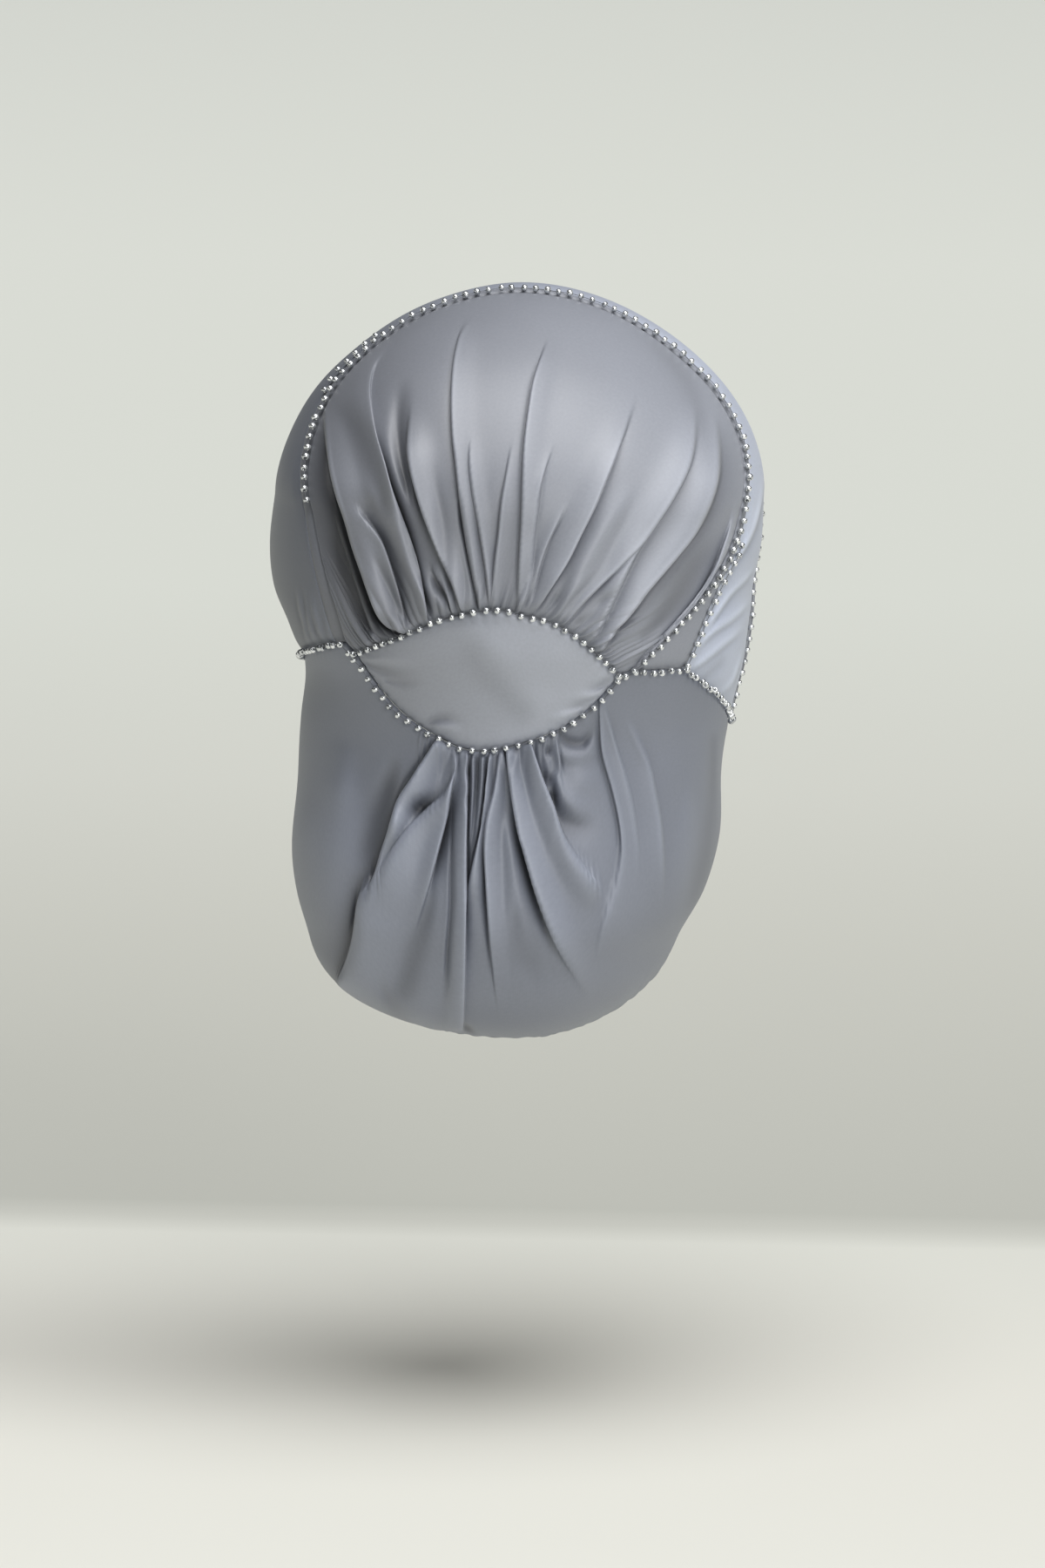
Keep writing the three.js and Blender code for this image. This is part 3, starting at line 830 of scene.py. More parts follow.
@dataclass
class Undulation(Relief):
    """The slow swells of cloth that hangs free."""

    height: float
    wavelength: float
    seed: int
    waves: int = 7

    STRETCH = (0.7, 1.6)

    def lift(self, grid: PanelGrid) -> tuple[Array, Array]:
        """Add up a few long waves in random directions."""
        draw = np.random.default_rng(self.seed)
        height = np.zeros(grid.v.shape)
        for _ in range(self.waves):
            direction = unit(draw.normal(size=3))
            frequency = 2 * math.pi / (self.wavelength * draw.uniform(*self.STRETCH))
            height += np.sin(grid.points @ direction * frequency + draw.uniform(0.0, 2 * math.pi))
        return self.height * height / math.sqrt(self.waves), np.zeros(grid.points.shape)


# The columns of a fold are its path from the gathered edge outwards, its width and its height, and
# for a fold that falls off sharply its steep side, the depth of its crease and how far its crest
# leans over it. Those of a hollow are its place, half width and half height, depth and turn.
CROWN_FOLDS = [
    Fold(
        ((-56.5, -36.5), (-58, -30.5), (-61, -23), (-64.5, -12.5), (-67.5, -3.5), (-70.5, 7),
         (-73, 22)),
        6, 1.8, Side.LEFT, 1.4, 0.5,
    ),
    Fold(
        ((-44.5, -36), (-50.5, -32.5), (-54, -28), (-57, -20.5), (-60.5, -11), (-64, -1.5),
         (-66.5, 7), (-70, 18), (-73, 30.5), (-74.5, 44), (-74.5, 54)),
        19, 7.0, Side.LEFT, 8.0, 2.2, fade=0.3, tail=0.3,
    ),
    Fold(
        ((-36, -29), (-38, -20.5), (-40.5, -11), (-43.5, -1.5), (-47.5, 9.5), (-51, 19.5),
         (-53.5, 29), (-56.5, 39), (-58, 48.5), (-58.5, 57), (-57, 65.5), (-53, 72), (-47, 78)),
        17, 6.5, Side.RIGHT, 8.0, 2.2, fade=0.45, tail=0.08, creased=(0, 0.5),
    ),
    Fold(
        ((-58, -34), (-62, -24.5), (-66, -13.5), (-69, -3.5), (-71.5, 7), (-73, 18)),
        12, -5.5, start=0.8, fade=0.5,
    ),
    Fold(
        ((-52.5, 12), (-55, 21), (-58, 30.5), (-62, 40), (-66.5, 48.5), (-68.5, 54)),
        9, -2.8, start=0.9, fade=0.5,
    ),
    Fold(
        ((-34.5, -26.5), (-38.5, -18), (-41.5, -9.5), (-44, -1), (-47, 8.5), (-49.5, 17),
         (-51.5, 23.5)),
        3.5, -4.0, start=0.5, fade=0.45,
    ),
    Fold(
        ((-44, -31.5), (-47, -20.5), (-50.5, -9.5), (-54, -0.5), (-58.5, 6), (-62.5, 9.5)),
        8, 3.0, Side.RIGHT, 4.0, 0.8, fade=0.15, tail=0.35,
    ),
    Fold(((-43.5, -32), (-48, -23), (-53, -12.5), (-56.5, -4.5)), 3, -1.6, fade=0.4),
    Fold(
        ((-42, 14.5), (-43.5, 21), (-45, 28), (-46, 35.5), (-46.5, 44), (-45.5, 56), (-43, 62.5)),
        6, -3.6, start=0.15, fade=0.5,
    ),
    Fold(
        ((-21.5, -28), (-25.5, -16), (-30.5, -5), (-35.5, 7.5), (-39.5, 20.5), (-42, 32),
         (-42.5, 40.5), (-41.5, 51)),
        13, 4.8, Side.LEFT, 3.6, 1.6, fade=0.3, tail=0.14, creased=(0.45, 1),
    ),
    Fold(((-26, -20.5), (-27, -13), (-30, 8.5), (-33, 22), (-34.5, 32)), 5, -1.6, fade=0.5),
    Fold(((-27, -28.5), (-31, -24.5), (-34.5, -19.5), (-36.5, -12.5)), 5, 1.8),
    Fold(
        ((-25.5, -28.5), (-26.5, -23.5), (-29, -18.5), (-32.5, -13.5), (-34.5, -11)),
        4, 2.0, Side.LEFT, 1.8, 0.6,
    ),
    Fold(
        ((-15, -27), (-17.5, -13.5), (-20, 0), (-22, 13.5), (-23.5, 26.5), (-25, 39), (-25.5, 51),
         (-25, 64.5), (-23.5, 75.5), (-21.5, 81.5), (-17.5, 85.5)),
        11, 3.2, Side.LEFT, 1.1, 1.0, fade=0.3, tail=0.12,
    ),
    Fold(
        ((-15.5, -26.5), (-18, -13), (-20, -2), (-22, 8.5), (-23, 18)),
        2.2, -3.5, start=0.8, fade=0.3,
    ),
    Fold(
        ((-11, -26), (-12.5, -12), (-15, 3.5), (-17.5, 18), (-19, 30.5), (-19.5, 40)),
        6, 2.0, Side.LEFT, 1.2, 0.6, fade=0.25,
    ),
    Fold(
        ((-10.5, -26), (-9, -9.5), (-7.5, 2.5), (-6.5, 13.5), (-4.5, 26.5), (-3, 37.5)),
        8, 1.6, Side.LEFT, 0.9, 0.4, fade=0.4,
    ),
    Fold(
        ((0, -26.5), (0.5, -12), (1.5, 5), (2, 22), (2.5, 34.5), (4, 47.5), (6, 60), (9, 70.5),
         (11.5, 78)),
        11, 3.2, Side.LEFT, 1.1, 1.0, fade=0.25, tail=0.12,
    ),
    Fold(
        ((2.5, -24.5), (4.5, -12), (5.5, 1), (7, 12), (8, 20.5), (10.5, 29), (14, 35.5)),
        7, 2.2, Side.RIGHT, 1.2, 0.6,
    ),
    Fold(
        ((4.5, -24.5), (7.5, -12.5), (10.5, -2.5), (15, 6.5), (18.5, 11)),
        6, 1.6, Side.RIGHT, 1.0, 0.4,
    ),
    Fold(
        ((7.5, -25.5), (12.5, -17), (18.5, -7.5), (23.5, 2.5), (29, 13.5), (33, 23.5), (36.5, 32),
         (41, 43), (45, 56)),
        13, 4.6, Side.RIGHT, 1.9, 1.4, fade=0.3,
    ),
    Fold(
        ((15.5, -29), (20.5, -20), (25.5, -10.5), (30.5, -1.5), (35.5, 7), (41, 16), (46.5, 23.5)),
        9, 2.8, fade=0.45,
    ),
    Fold(
        ((18.5, -31.5), (25.5, -23.5), (31, -18), (37, -12), (43, -5), (49, 1.5), (55.5, 10)),
        8, 2.0, Side.RIGHT, 1.4, 0.6,
    ),
    Fold(
        ((29.5, -36.5), (35.5, -24.5), (40.5, -14), (45.5, -4), (51, 4), (56.5, 12), (61.5, 20.5),
         (65.5, 29), (67.5, 37.5), (68, 46), (67, 54)),
        15, 5.2, Side.RIGHT, 2.2, 1.6, fade=0.3,
    ),
    Fold(
        ((32, -41.5), (37, -34.5), (43, -28), (49, -20), (56, -12), (62.5, -4.5), (68, 2.5),
         (72, 10), (75.5, 19.5), (77, 28), (77, 39), (75.5, 50)),
        15, 6.2, Side.RIGHT, 4.4, 1.8, fade=0.25, tail=0.25,
    ),
    Fold(
        ((49, -37.5), (56.5, -29.5), (64, -18.5), (71, -7), (76, 3.5), (80, 13.5)),
        12, -2.6, start=0.6, fade=0.5,
    ),
    Fold(
        ((43.5, -51.5), (52, -43), (60.5, -34), (68.5, -24.5), (75, -14.5), (79.5, -3.5),
         (82.5, 7), (83, 17)),
        13, 5.0, Side.LEFT, 2.4, 1.2, fade=0.4,
    ),
    Fold(
        ((73.5, 34.5), (71, 47.5), (66.5, 59.5), (60.5, 69.5), (52, 79), (42, 86.5)),
        8, -0.9, start=0.2, fade=0.5,
    ),
]
CROWN_HOLLOWS = [
    Hollow((-59, 12.5), (7, 2.2), 1.8, turn=-10),
    Hollow((-50.5, -31.5), (4.5, 1.5), 2.6, turn=-38),
    Hollow((-31, -19), (1.4, 4), 2.6, turn=35),
    Hollow((32.5, -23.5), (1.4, 3.4), 1.2, turn=-45),
    Hollow((22.5, -32), (1.2, 2.6), 1.4, turn=-50),
    Hollow((14, -23.5), (1.2, 2.6), 1.0, turn=-35),
]
POUCH_FOLDS = [
    Fold(
        ((-32, -79.5), (-36, -86), (-40.5, -93.5), (-45, -100.5), (-47, -106.5), (-49, -114),
         (-52, -122.5), (-54, -129.5), (-56.5, -135), (-60, -138), (-61.5, -142.5), (-62, -150),
         (-63, -158), (-65.5, -166.5), (-68.5, -173), (-71, -177.5)),
        28, 9.5, Side.LEFT, 5.5, 3.0, fade=0.1, narrow=0.3, tail=0.14,
    ),
    Fold(
        ((-26, -92.5), (-28.5, -99.5), (-34, -104.5), (-39.5, -110.5), (-45, -118.5), (-50, -127),
         (-55.5, -134.5)),
        13, 6.0, Side.LEFT, 4.5, 2.0, fade=0.15, tail=0.16,
    ),
    Fold(
        ((-24.5, -86), (-26, -97), (-29, -109), (-32.5, -122), (-36, -135), (-39.5, -147.5),
         (-43.5, -160.5)),
        11, 5.0, Side.RIGHT, 6.5, 1.3, fade=0.5, tail=0.22, creased=(0.15, 0.6),
    ),
    Fold(
        ((-20, -84.5), (-20.5, -101.5), (-21, -119.5), (-21, -137.5), (-21.5, -158), (-22, -181),
         (-22.5, -191.5)),
        11, 5.0, Side.RIGHT, 4.6, 0.8, fade=0.05, narrow=0.6, tail=0.12, power=3, creased=(0, 0.62),
    ),
    Fold(
        ((-25.5, -93.5), (-26, -110.5), (-26.5, -126), (-26.5, -142.5), (-27.5, -158),
         (-28.5, -172), (-30.5, -181)),
        1.8, -3.0, start=0.8, fade=0.3,
    ),
    Fold(((-18, -84), (-18, -97.5), (-18.5, -110.5), (-19.5, -122)), 2.6, 2.4, fade=0.3),
    Fold(
        ((-16, -84.5), (-16.5, -97.5), (-17.5, -111.5), (-19, -123)),
        1.6, -3.4, start=0.9, fade=0.3,
    ),
    Fold(((-14, -84), (-14.5, -97.5), (-16, -110.5), (-18, -123)), 2.8, 2.6, fade=0.3),
    Fold(
        ((-11, -84), (-12, -97.5), (-13, -107.5), (-15.5, -119.5), (-18.5, -132), (-20.5, -142.5),
         (-21, -158)),
        10, 4.8, Side.LEFT, 4.4, 1.2, fade=0.35, tail=0.12, creased=(0, 0.75),
    ),
    Fold(((-9.5, -84), (-10, -93.5), (-10.5, -105)), 1.6, -2.6, start=0.9, fade=0.4),
    Fold(
        ((-7.5, -83.5), (-9, -97.5), (-11.5, -110.5), (-12.5, -123), (-12, -138.5), (-11, -155.5),
         (-9.5, -171), (-7.5, -187.5)),
        9, 3.8, Side.LEFT, 3.2, 0.9, fade=0.5, tail=0.14,
    ),
    Fold(
        ((-6, -83), (-3.5, -92.5), (-1, -105), (1, -118)),
        3.4, 2.4, Side.RIGHT, 2.4, 0.5, fade=0.4, tail=0.25,
    ),
    Fold(
        ((-6, -106.5), (-2.5, -126), (-0.5, -145), (2, -165.5), (4.5, -181)),
        8, 1.8, start=0.1, fade=0.4,
    ),
    Fold(
        ((-4.5, -82), (-2, -96.5), (0.5, -111), (4.5, -126.5), (9.5, -143), (15.5, -157.5),
         (22.5, -169.5), (29, -178.5)),
        12, 6.2, Side.LEFT, 6.4, 1.8, fade=0.35, tail=0.13, creased=(-1, 0.62),
    ),
    Fold(
        ((4, -79.5), (7, -90.5), (11.5, -102), (15.5, -113.5), (21, -123), (27.5, -131.5),
         (33, -136)),
        13, 6.8, Side.RIGHT, 3.6, 2.0, fade=0.12, tail=0.2, creased=(0, 0.6),
    ),
    Fold(
        ((14, -103), (17, -107.5), (21.5, -110.5), (27, -111), (32, -110)),
        4.8, -3.4, start=0.9, fade=0.5,
    ),
    Fold(((15, -93), (18, -99.5), (23, -104), (31, -104.5)), 7, 2.6, start=0.8, fade=0.5),
    Fold(((16, -75.5), (19.5, -78.5), (25, -79), (29.5, -74)), 2.8, -3.6, start=0.8),
    Fold(((14.5, -82), (20, -84), (26.5, -83), (30.5, -76)), 5, 2.4, start=0.8),
    Fold(((14.5, -77.5), (15.5, -84), (16.5, -91)), 1.6, 1.8, Side.RIGHT, 1.6, 0.3, fade=0.3),
    Fold(
        ((31.5, -66.5), (32, -75), (33, -84), (36.5, -96.5), (39.5, -111), (40, -121), (38, -133),
         (34.5, -143), (31, -153.5), (29.5, -162)),
        16, 1.9, Side.LEFT, 0.5, 0.2, fade=0.2, tail=0.2, power=1.6,
    ),
    Fold(
        ((34, -67), (37.5, -78.5), (42, -93), (45, -108.5), (46.5, -124), (44.5, -138)),
        8, 1.8, Side.RIGHT, 0.8, 0.4, fade=0.5, tail=0.4,
    ),
    Fold(
        ((44.5, -73.5), (50.5, -86.5), (53, -99.5), (55, -112), (56, -129), (55, -144.5)),
        9, 2.0, Side.RIGHT, 0.9, 0.4, fade=0.4, tail=0.4,
    ),
    Fold(((65, -99.5), (65.5, -116), (64, -134), (60, -149.5)), 9, 1.6, fade=0.4),
    Fold(((74.5, -77.5), (74.5, -103), (73, -121), (69, -136.5), (64, -152)), 8, -1.8, fade=0.3),
    Fold(((-1.5, -143), (0, -154.5), (4.5, -167.5), (9, -175.5)), 9, -1.8, start=0.3, fade=0.5),
    Fold(
        ((-69, -87), (-72.5, -106.5), (-75.5, -124.5), (-77, -142.5), (-74.5, -158)),
        24, 6.0, fade=0.3, start=0.4,
    ),
    Fold(
        ((-61, -140.5), (-63, -146.5), (-63.5, -155.5), (-65.5, -163.5), (-69, -171.5)),
        5, -4.4, start=0.7, fade=0.15,
    ),
    Fold(((-49, -88.5), (-53, -104), (-57, -119.5), (-62, -129.5)), 13, -3.4, fade=0.3, start=0.4),
    Fold(
        ((-33.5, -137.5), (-39.5, -155.5), (-44, -171), (-47, -179)),
        9, -2.4, start=0.4, fade=0.2,
    ),
    Fold(
        ((-40.5, -119.5), (-48.5, -135), (-53, -150), (-55, -165.5)),
        16, 2.6, start=0.3, fade=0.3,
    ),
    Fold(
        ((-53.5, -172), (-49, -178.5), (-46, -185.5), (-42, -191.5)),
        8, -1.6, start=0.3, fade=0.3,
    ),
]
POUCH_HOLLOWS = [
    Hollow((-38.5, -104), (3.8, 1.6), 9.5, turn=24),
    Hollow((-46.5, -111), (2.2, 4.6), -3.6, turn=-15),
    Hollow((-55.5, -132), (1.8, 3), 2.6, turn=30),
    Hollow((-20, -90.5), (0.8, 3.2), 4.0, turn=0),
    Hollow((-20.5, -101.5), (0.8, 2.2), 3.0, turn=0),
    Hollow((-40, -184.5), (9, 10), -2.6, turn=0),
    Hollow((11, -93), (2.4, 0.9), 4.6, turn=-24),
    Hollow((13.5, -100), (1.1, 2.4), 4.6, turn=15),
    Hollow((11, -82), (1, 1.6), 3.4, turn=0),
    Hollow((24.5, -93.5), (6, 5), -1.8, turn=0),
    Hollow((-20, -190), (3, 1.4), 4.0, turn=-30),
]
SIDE_FOLDS = [
    Fold(
        ((77.5, -20.5), (82.5, -11), (88, -3), (91.5, 5), (94, 15.5), (95, 25.5)),
        8, 3.6, Side.RIGHT, 2.8, 0.9,
    ),
    Fold(
        ((73.5, -34), (77.5, -28), (82.5, -21), (88, -15.5), (92, -9.5)),
        6, 2.8, Side.RIGHT, 2.2, 0.6,
    ),
    Fold(
        ((69, -42.5), (75, -36.5), (82, -31.5), (87, -27), (90.5, -23.5)),
        5, 2.6, Side.RIGHT, 2.0, 0.5,
    ),
    Fold(
        ((66, -51.5), (71.5, -47.5), (77.5, -42.5), (83.5, -37.5), (88, -34)),
        5, 2.5, Side.RIGHT, 2.0, 0.5,
    ),
    Fold(((71, -55), (76, -50), (80, -45)), 4, -1.3),
    Fold(((78, -60), (83, -55), (87, -42)), 5, 1.8, Side.RIGHT, 1.0, 0.4),
    Fold(((-82, -43), (-83, -34), (-85, -27), (-86, -19)), 4, 2.2, Side.LEFT, 2.0, 0.5),
    Fold(((-79, -42), (-81, -34), (-82, -28), (-83, -18)), 4, 2.2, Side.LEFT, 2.0, 0.5),
    Fold(((-76, -40), (-78, -34), (-80, -28), (-81, -19)), 4, 2.2, Side.LEFT, 2.0, 0.5),
    Fold(((-73, -41), (-74, -36), (-76, -26)), 4, 2.0, Side.LEFT, 1.8, 0.5),
]
PATCH_FOLDS = [
    Fold(
        ((-16.5, -37.5), (-5.5, -51), (6, -63), (12.5, -69)),
        15, 1.0, start=0.4, fade=0.4, narrow=1,
    ),
    Fold(
        ((-23.5, -39.5), (-11.5, -55), (0, -67.5), (6, -72.5)),
        12, -0.9, start=0.4, fade=0.4, narrow=1,
    ),
    Fold(((-59, -48.5), (-53, -51), (-46, -52.5), (-36, -51)), 4.5, -1.7, start=0.9, fade=0.6),
    Fold(((-58.5, -46.5), (-49, -47.5), (-36, -48)), 6, 1.2, start=0.9, fade=0.6),
    Fold(((-51.5, -54.5), (-44, -55.5), (-36, -55)), 4, -1.2, start=0.9, fade=0.6),
    Fold(((-36, -71.5), (-31.5, -69.5), (-26, -70), (-20.5, -72.5)), 4, -1.6, start=0.9, fade=0.6),
    Fold(((-34, -75), (-29, -72.5), (-21.5, -74)), 5, 1.4, start=0.9, fade=0.5),
    Fold(((36.5, -53.5), (31.5, -57), (23.5, -58.5)), 4, -1.5, start=0.9, fade=0.6),
    Fold(((33.5, -58.5), (28, -61), (20, -62)), 4, 1.4, start=0.9, fade=0.6),
    Fold(((29.5, -62), (23.5, -64.5), (15.5, -66.5)), 4, -1.4, start=0.9, fade=0.6),
    Fold(((23.5, -66.5), (17, -69), (9, -70.5)), 4, 1.2, start=0.9, fade=0.6),
]


class MeshMaker:
    """Makes mesh objects from arrays of points in millimetres."""

    @staticmethod
    def grid(name: str, points: Array, looped: bool, uv: Array) -> bpy.types.Object:
        """Make a grid of four sided faces that face away from the form's middle.

        Args:
            name: The object's name.
            points: The grid's points, columns by rows by 3, in millimetres.
            looped: Whether the last column joins the first.
            uv: The flat cloth position of each point, in metres.

        Returns:
            The new object, linked to the scene.
        """
        columns, rows = points.shape[:2]
        first = np.arange(columns if looped else columns - 1)[:, None]
        row = np.arange(rows - 1)[None]
        following = (first + 1) % columns
        here, there = first * rows + row, following * rows + row
        corners = [here, there, there + 1, here + 1]
        faces = np.stack(np.broadcast_arrays(*corners), axis=-1).reshape(-1, 4)
        flat = points.reshape(-1, 3)
        sample = faces[len(faces) // 2]
        side = np.cross(flat[sample[1]] - flat[sample[0]], flat[sample[3]] - flat[sample[0]])
        if side @ (flat[sample[0]] - FORM.MIDDLE) < 0:
            faces = faces[:, ::-1]
        mesh = bpy.data.meshes.new(name)
        mesh.from_pydata((flat * MM).tolist(), [], faces.tolist())
        layer = mesh.uv_layers.new(name="cloth")
        loops = np.zeros(len(mesh.loops), np.int32)
        mesh.loops.foreach_get("vertex_index", loops)
        layer.data.foreach_set("uv", uv.reshape(-1, 2)[loops].astype(np.float32).ravel())
        mesh.shade_smooth()
        return placed(name, mesh)


@dataclass
class ClothPanel:
    """A panel of cloth between two seams, with its relief and the size that it was cut to.

    Gathered seams let the folds run right up to them; at plain seams the folds die out before.
    """

    name: str
    start: Seam
    end: Seam
    columns: int
    rows: int
    reliefs: list[Relief]
    flat: tuple[float, float]
    held: str
    rests_on: list[str]
    area: float | None = None
    shares: dict[int, float] | None = None
    looped: bool = False
    crowding: float = 0.0
    gathered_start: bool = False
    gathered_end: bool = False
    start_groove: float = 1.0
    end_groove: float = 1.0

    THICKNESS = 0.9
    SEAM_DIP = 0.8
    SEAM_SOFTNESS = 3.2
    GROOVE_DEPTH = 0.7
    GROOVE_WIDTH = 1.0
    PLAIN_OPENING = 7.0
    GATHERED_OPENING = (-1.2, 2.6)
    FAR = 1e3
    OWN_SHARE = 0.5
    NEIGHBOUR_SHARE = 0.25

    def _grid(self) -> PanelGrid:
        """Lay the panel's points on the plain form."""
        columns = self.start.columns(self.columns, self.shares)
        u = columns[:-1] if self.looped else columns
        start, end = self.start.at(u), self.end.at(u)
        span = np.linalg.norm(FORM.point(start) - FORM.point(end), axis=-1)[:, None]
        even = np.linspace(0.0, 1.0, self.rows + 1)
        crowded = even - self.crowding * np.sin(2 * math.pi * even) / (2 * math.pi)
        v = np.broadcast_to(crowded, (len(u), self.rows + 1))
        directions = arc_between(start[:, None], end[:, None], v)
        points = FORM.point(directions)
        for relief in self.reliefs:
            points = relief.crowd(points, FORM.normal(points))
        along = self.start.length + (self.end.length - self.start.length) * v
        side = np.minimum(u, 1 - u)[:, None] * along
        if self.looped:
            side = np.full(v.shape, self.FAR)
        normals, painted_shading = FORM.normal(points), np.zeros(v.shape)
        return PanelGrid(points, normals, u[:, None], v, v * span, (1 - v) * span, side, painted_shading)

    def _opening(self, grid: PanelGrid) -> Array:
        """How far the cloth is free of its seams: 0 at a seam and 1 in the open."""
        free = smooth_step(grid.from_side, 0.0, self.PLAIN_OPENING)
        edges = ((self.gathered_start, grid.from_start), (self.gathered_end, grid.from_end))
        for gathered, away in edges:
            if gathered:
                free = free * smooth_step(away, *self.GATHERED_OPENING)
            else:
                free = free * smooth_step(away, 0.0, self.PLAIN_OPENING)
        return free

    def _dip(self, to_seam: Array) -> Array:
        """How far the cloth dips towards a seam, at distances from it."""
        soft = self.SEAM_DIP * np.exp(-((to_seam / self.SEAM_SOFTNESS) ** 2))
        return soft + self.GROOVE_DEPTH * np.exp(-((to_seam / self.GROOVE_WIDTH) ** 2))

    def _mixed(self, before: Array, own: Array, after: Array) -> Array:
        """Mix values with the values on both sides of them."""
        return self.NEIGHBOUR_SHARE * before + self.OWN_SHARE * own + self.NEIGHBOUR_SHARE * after

    def _smoothed(self, values: Array) -> Array:
        """Soften an array over the grid by one step of its neighbours."""
        inner = values.copy()
        inner[1:-1] = self._mixed(values[:-2], values[1:-1], values[2:])
        if self.looped:
            inner[0] = self._mixed(values[-1], values[0], values[1])
            inner[-1] = self._mixed(values[-2], values[-1], values[0])
        outer = inner.copy()
        outer[:, 1:-1] = self._mixed(inner[:, :-2], inner[:, 1:-1], inner[:, 2:])
        return outer

    def _draped(self, grid: PanelGrid) -> Array:
        """The points of the cloth with its relief, seams and folds."""
        height = np.zeros(grid.v.shape)
        shift = np.zeros(grid.points.shape)
        for relief in self.reliefs:
            more_height, more_shift = relief.lift(grid)
            height = height + more_height
            shift = shift + more_shift
        free = self._opening(grid)
        dip = self._dip(grid.from_start) * self.start_groove
        dip = np.maximum(dip, self._dip(grid.from_end) * self.end_groove)
        dip = np.maximum(dip, self._dip(grid.from_side))
        move = grid.normals * (height * free)[..., None] + shift * free[..., None]
        return grid.points + self._smoothed(move) - grid.normals * dip[..., None]

    def build(self, finish: bpy.types.Material) -> bpy.types.Object:
        """Make the panel and give it its thickness and finish.

        Args:
            finish: The cloth's material.

        Returns:
            The finished piece.
        """
        grid = self._grid()
        points = self._draped(grid)
        uv = np.empty((*grid.v.shape, 2))
        uv[..., 0] = grid.u * max(self.start.length, self.end.length) * MM
        uv[..., 1] = grid.from_start * MM
        piece = MeshMaker.grid(self.name + "_cloth", points, self.looped, uv)
        # The painted shade and highlight of the folds, for the satin to read.
        painted_shading = piece.data.attributes.new(Satin.PAINTED_SHADING, "FLOAT", "POINT")
        painted_shading.data.foreach_set("value", self._smoothed(grid.painted_shading).astype(np.float32).ravel())
        piece.data.materials.append(finish)
        wall = piece.modifiers.new("wall", "SOLIDIFY")
        wall.thickness = self.THICKNESS * MM
        wall.offset = -1.0
        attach(piece, BODY)
        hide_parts(self.name)
        LOG.info("%s: %d faces", self.name, len(piece.data.polygons))
        return piece


class NodeTree:
    """A small helper that adds nodes to a tree and links them."""

    def __init__(self, tree: bpy.types.NodeTree) -> None:
        """Keep the tree that nodes go into."""
        self.tree = tree

    def connect(self, node: bpy.types.Node, inputs: dict[int | str, object]) -> None:
        """Link sockets to a node's inputs, or set the inputs to values.

        Args:
            node: The node.
            inputs: Sockets to link from, or values, by input name or index.
        """
        for key, value in inputs.items():
            if isinstance(value, bpy.types.NodeSocket):
                self.tree.links.new(value, node.inputs[key])
            else:
                node.inputs[key].default_value = value

    def add(
        self, kind: str, inputs: dict[int | str, object] | None = None, **settings: object
    ) -> bpy.types.Node:
        """Add a node, set its properties and connect or set its inputs.

        Args:
            kind: The node's type name.
            inputs: Sockets to link from, or values, by input name or index.
            **settings: Properties of the node.

        Returns:
            The new node.
        """
        node = self.tree.nodes.new(kind)
        for name, value in settings.items():
            setattr(node, name, value)
        self.connect(node, inputs or {})
        return node

    def math(self, operation: str, first: object, second: object = 0.0) -> Socket:
        """Add a math node and return its result."""
        return self.add("ShaderNodeMath", {0: first, 1: second}, operation=operation).outputs[0]

    def scaled(self, vector: Socket, factor: Socket) -> Socket:
        """Multiply a vector or a colour by a factor."""
        inputs = {0: vector, "Scale": factor}
        return self.add("ShaderNodeVectorMath", inputs, operation="SCALE").outputs[0]

    def axes(self, vector: Socket) -> bpy.types.NodeOutputs:
        """The three parts of a vector."""
        return self.add("ShaderNodeSeparateXYZ", {0: vector}).outputs

    def noise(self, vector: Socket, scale: float, detail: float = 2.0) -> Socket:
        """Soft noise at a scale, from 0 to 1."""
        inputs = {"Vector": vector, "Scale": scale, "Detail": detail}
        return self.add("ShaderNodeTexNoise", inputs).outputs["Fac"]

    def between(
        self, value: Socket, ends: tuple[float, float], results: tuple[float, float]
    ) -> Socket:
        """Map a value that runs between two ends to two results."""
        inputs = {0: value, 1: ends[0], 2: ends[1], 3: results[0], 4: results[1]}
        return self.add("ShaderNodeMapRange", inputs).outputs[0]

    def ramp(self, factor: Socket, stops: list[tuple[float, Colour]]) -> Socket:
        """Colours that change along a factor.

        Args:
            factor: The factor, from 0 to 1.
            stops: Positions and colours; the first two are the ramp's own stops.

        Returns:
            The colour.
        """
        node = self.add("ShaderNodeValToRGB", {0: factor})
        elements = node.color_ramp.elements
        for index, (position, colour) in enumerate(stops):
            stop = elements[index] if index < 2 else elements.new(position)
            stop.position = position
            stop.color = (*colour, 1.0)
        return node.outputs[0]


class MaterialNodes(NodeTree):
    """The nodes of a new material, with its shader and its coordinates."""

    def __init__(self, name: str) -> None:
        """Make the material."""
        self.material = bpy.data.materials.new(name)
        self.material.use_nodes = True
        super().__init__(self.material.node_tree)
        self.place = self.add("ShaderNodeTexCoord").outputs

    def finished(self, inputs: dict[int | str, object]) -> bpy.types.Material:
        """Connect or set the shader's inputs and hand over the material."""
        self.connect(self.tree.nodes["Principled BSDF"], inputs)
        return self.material


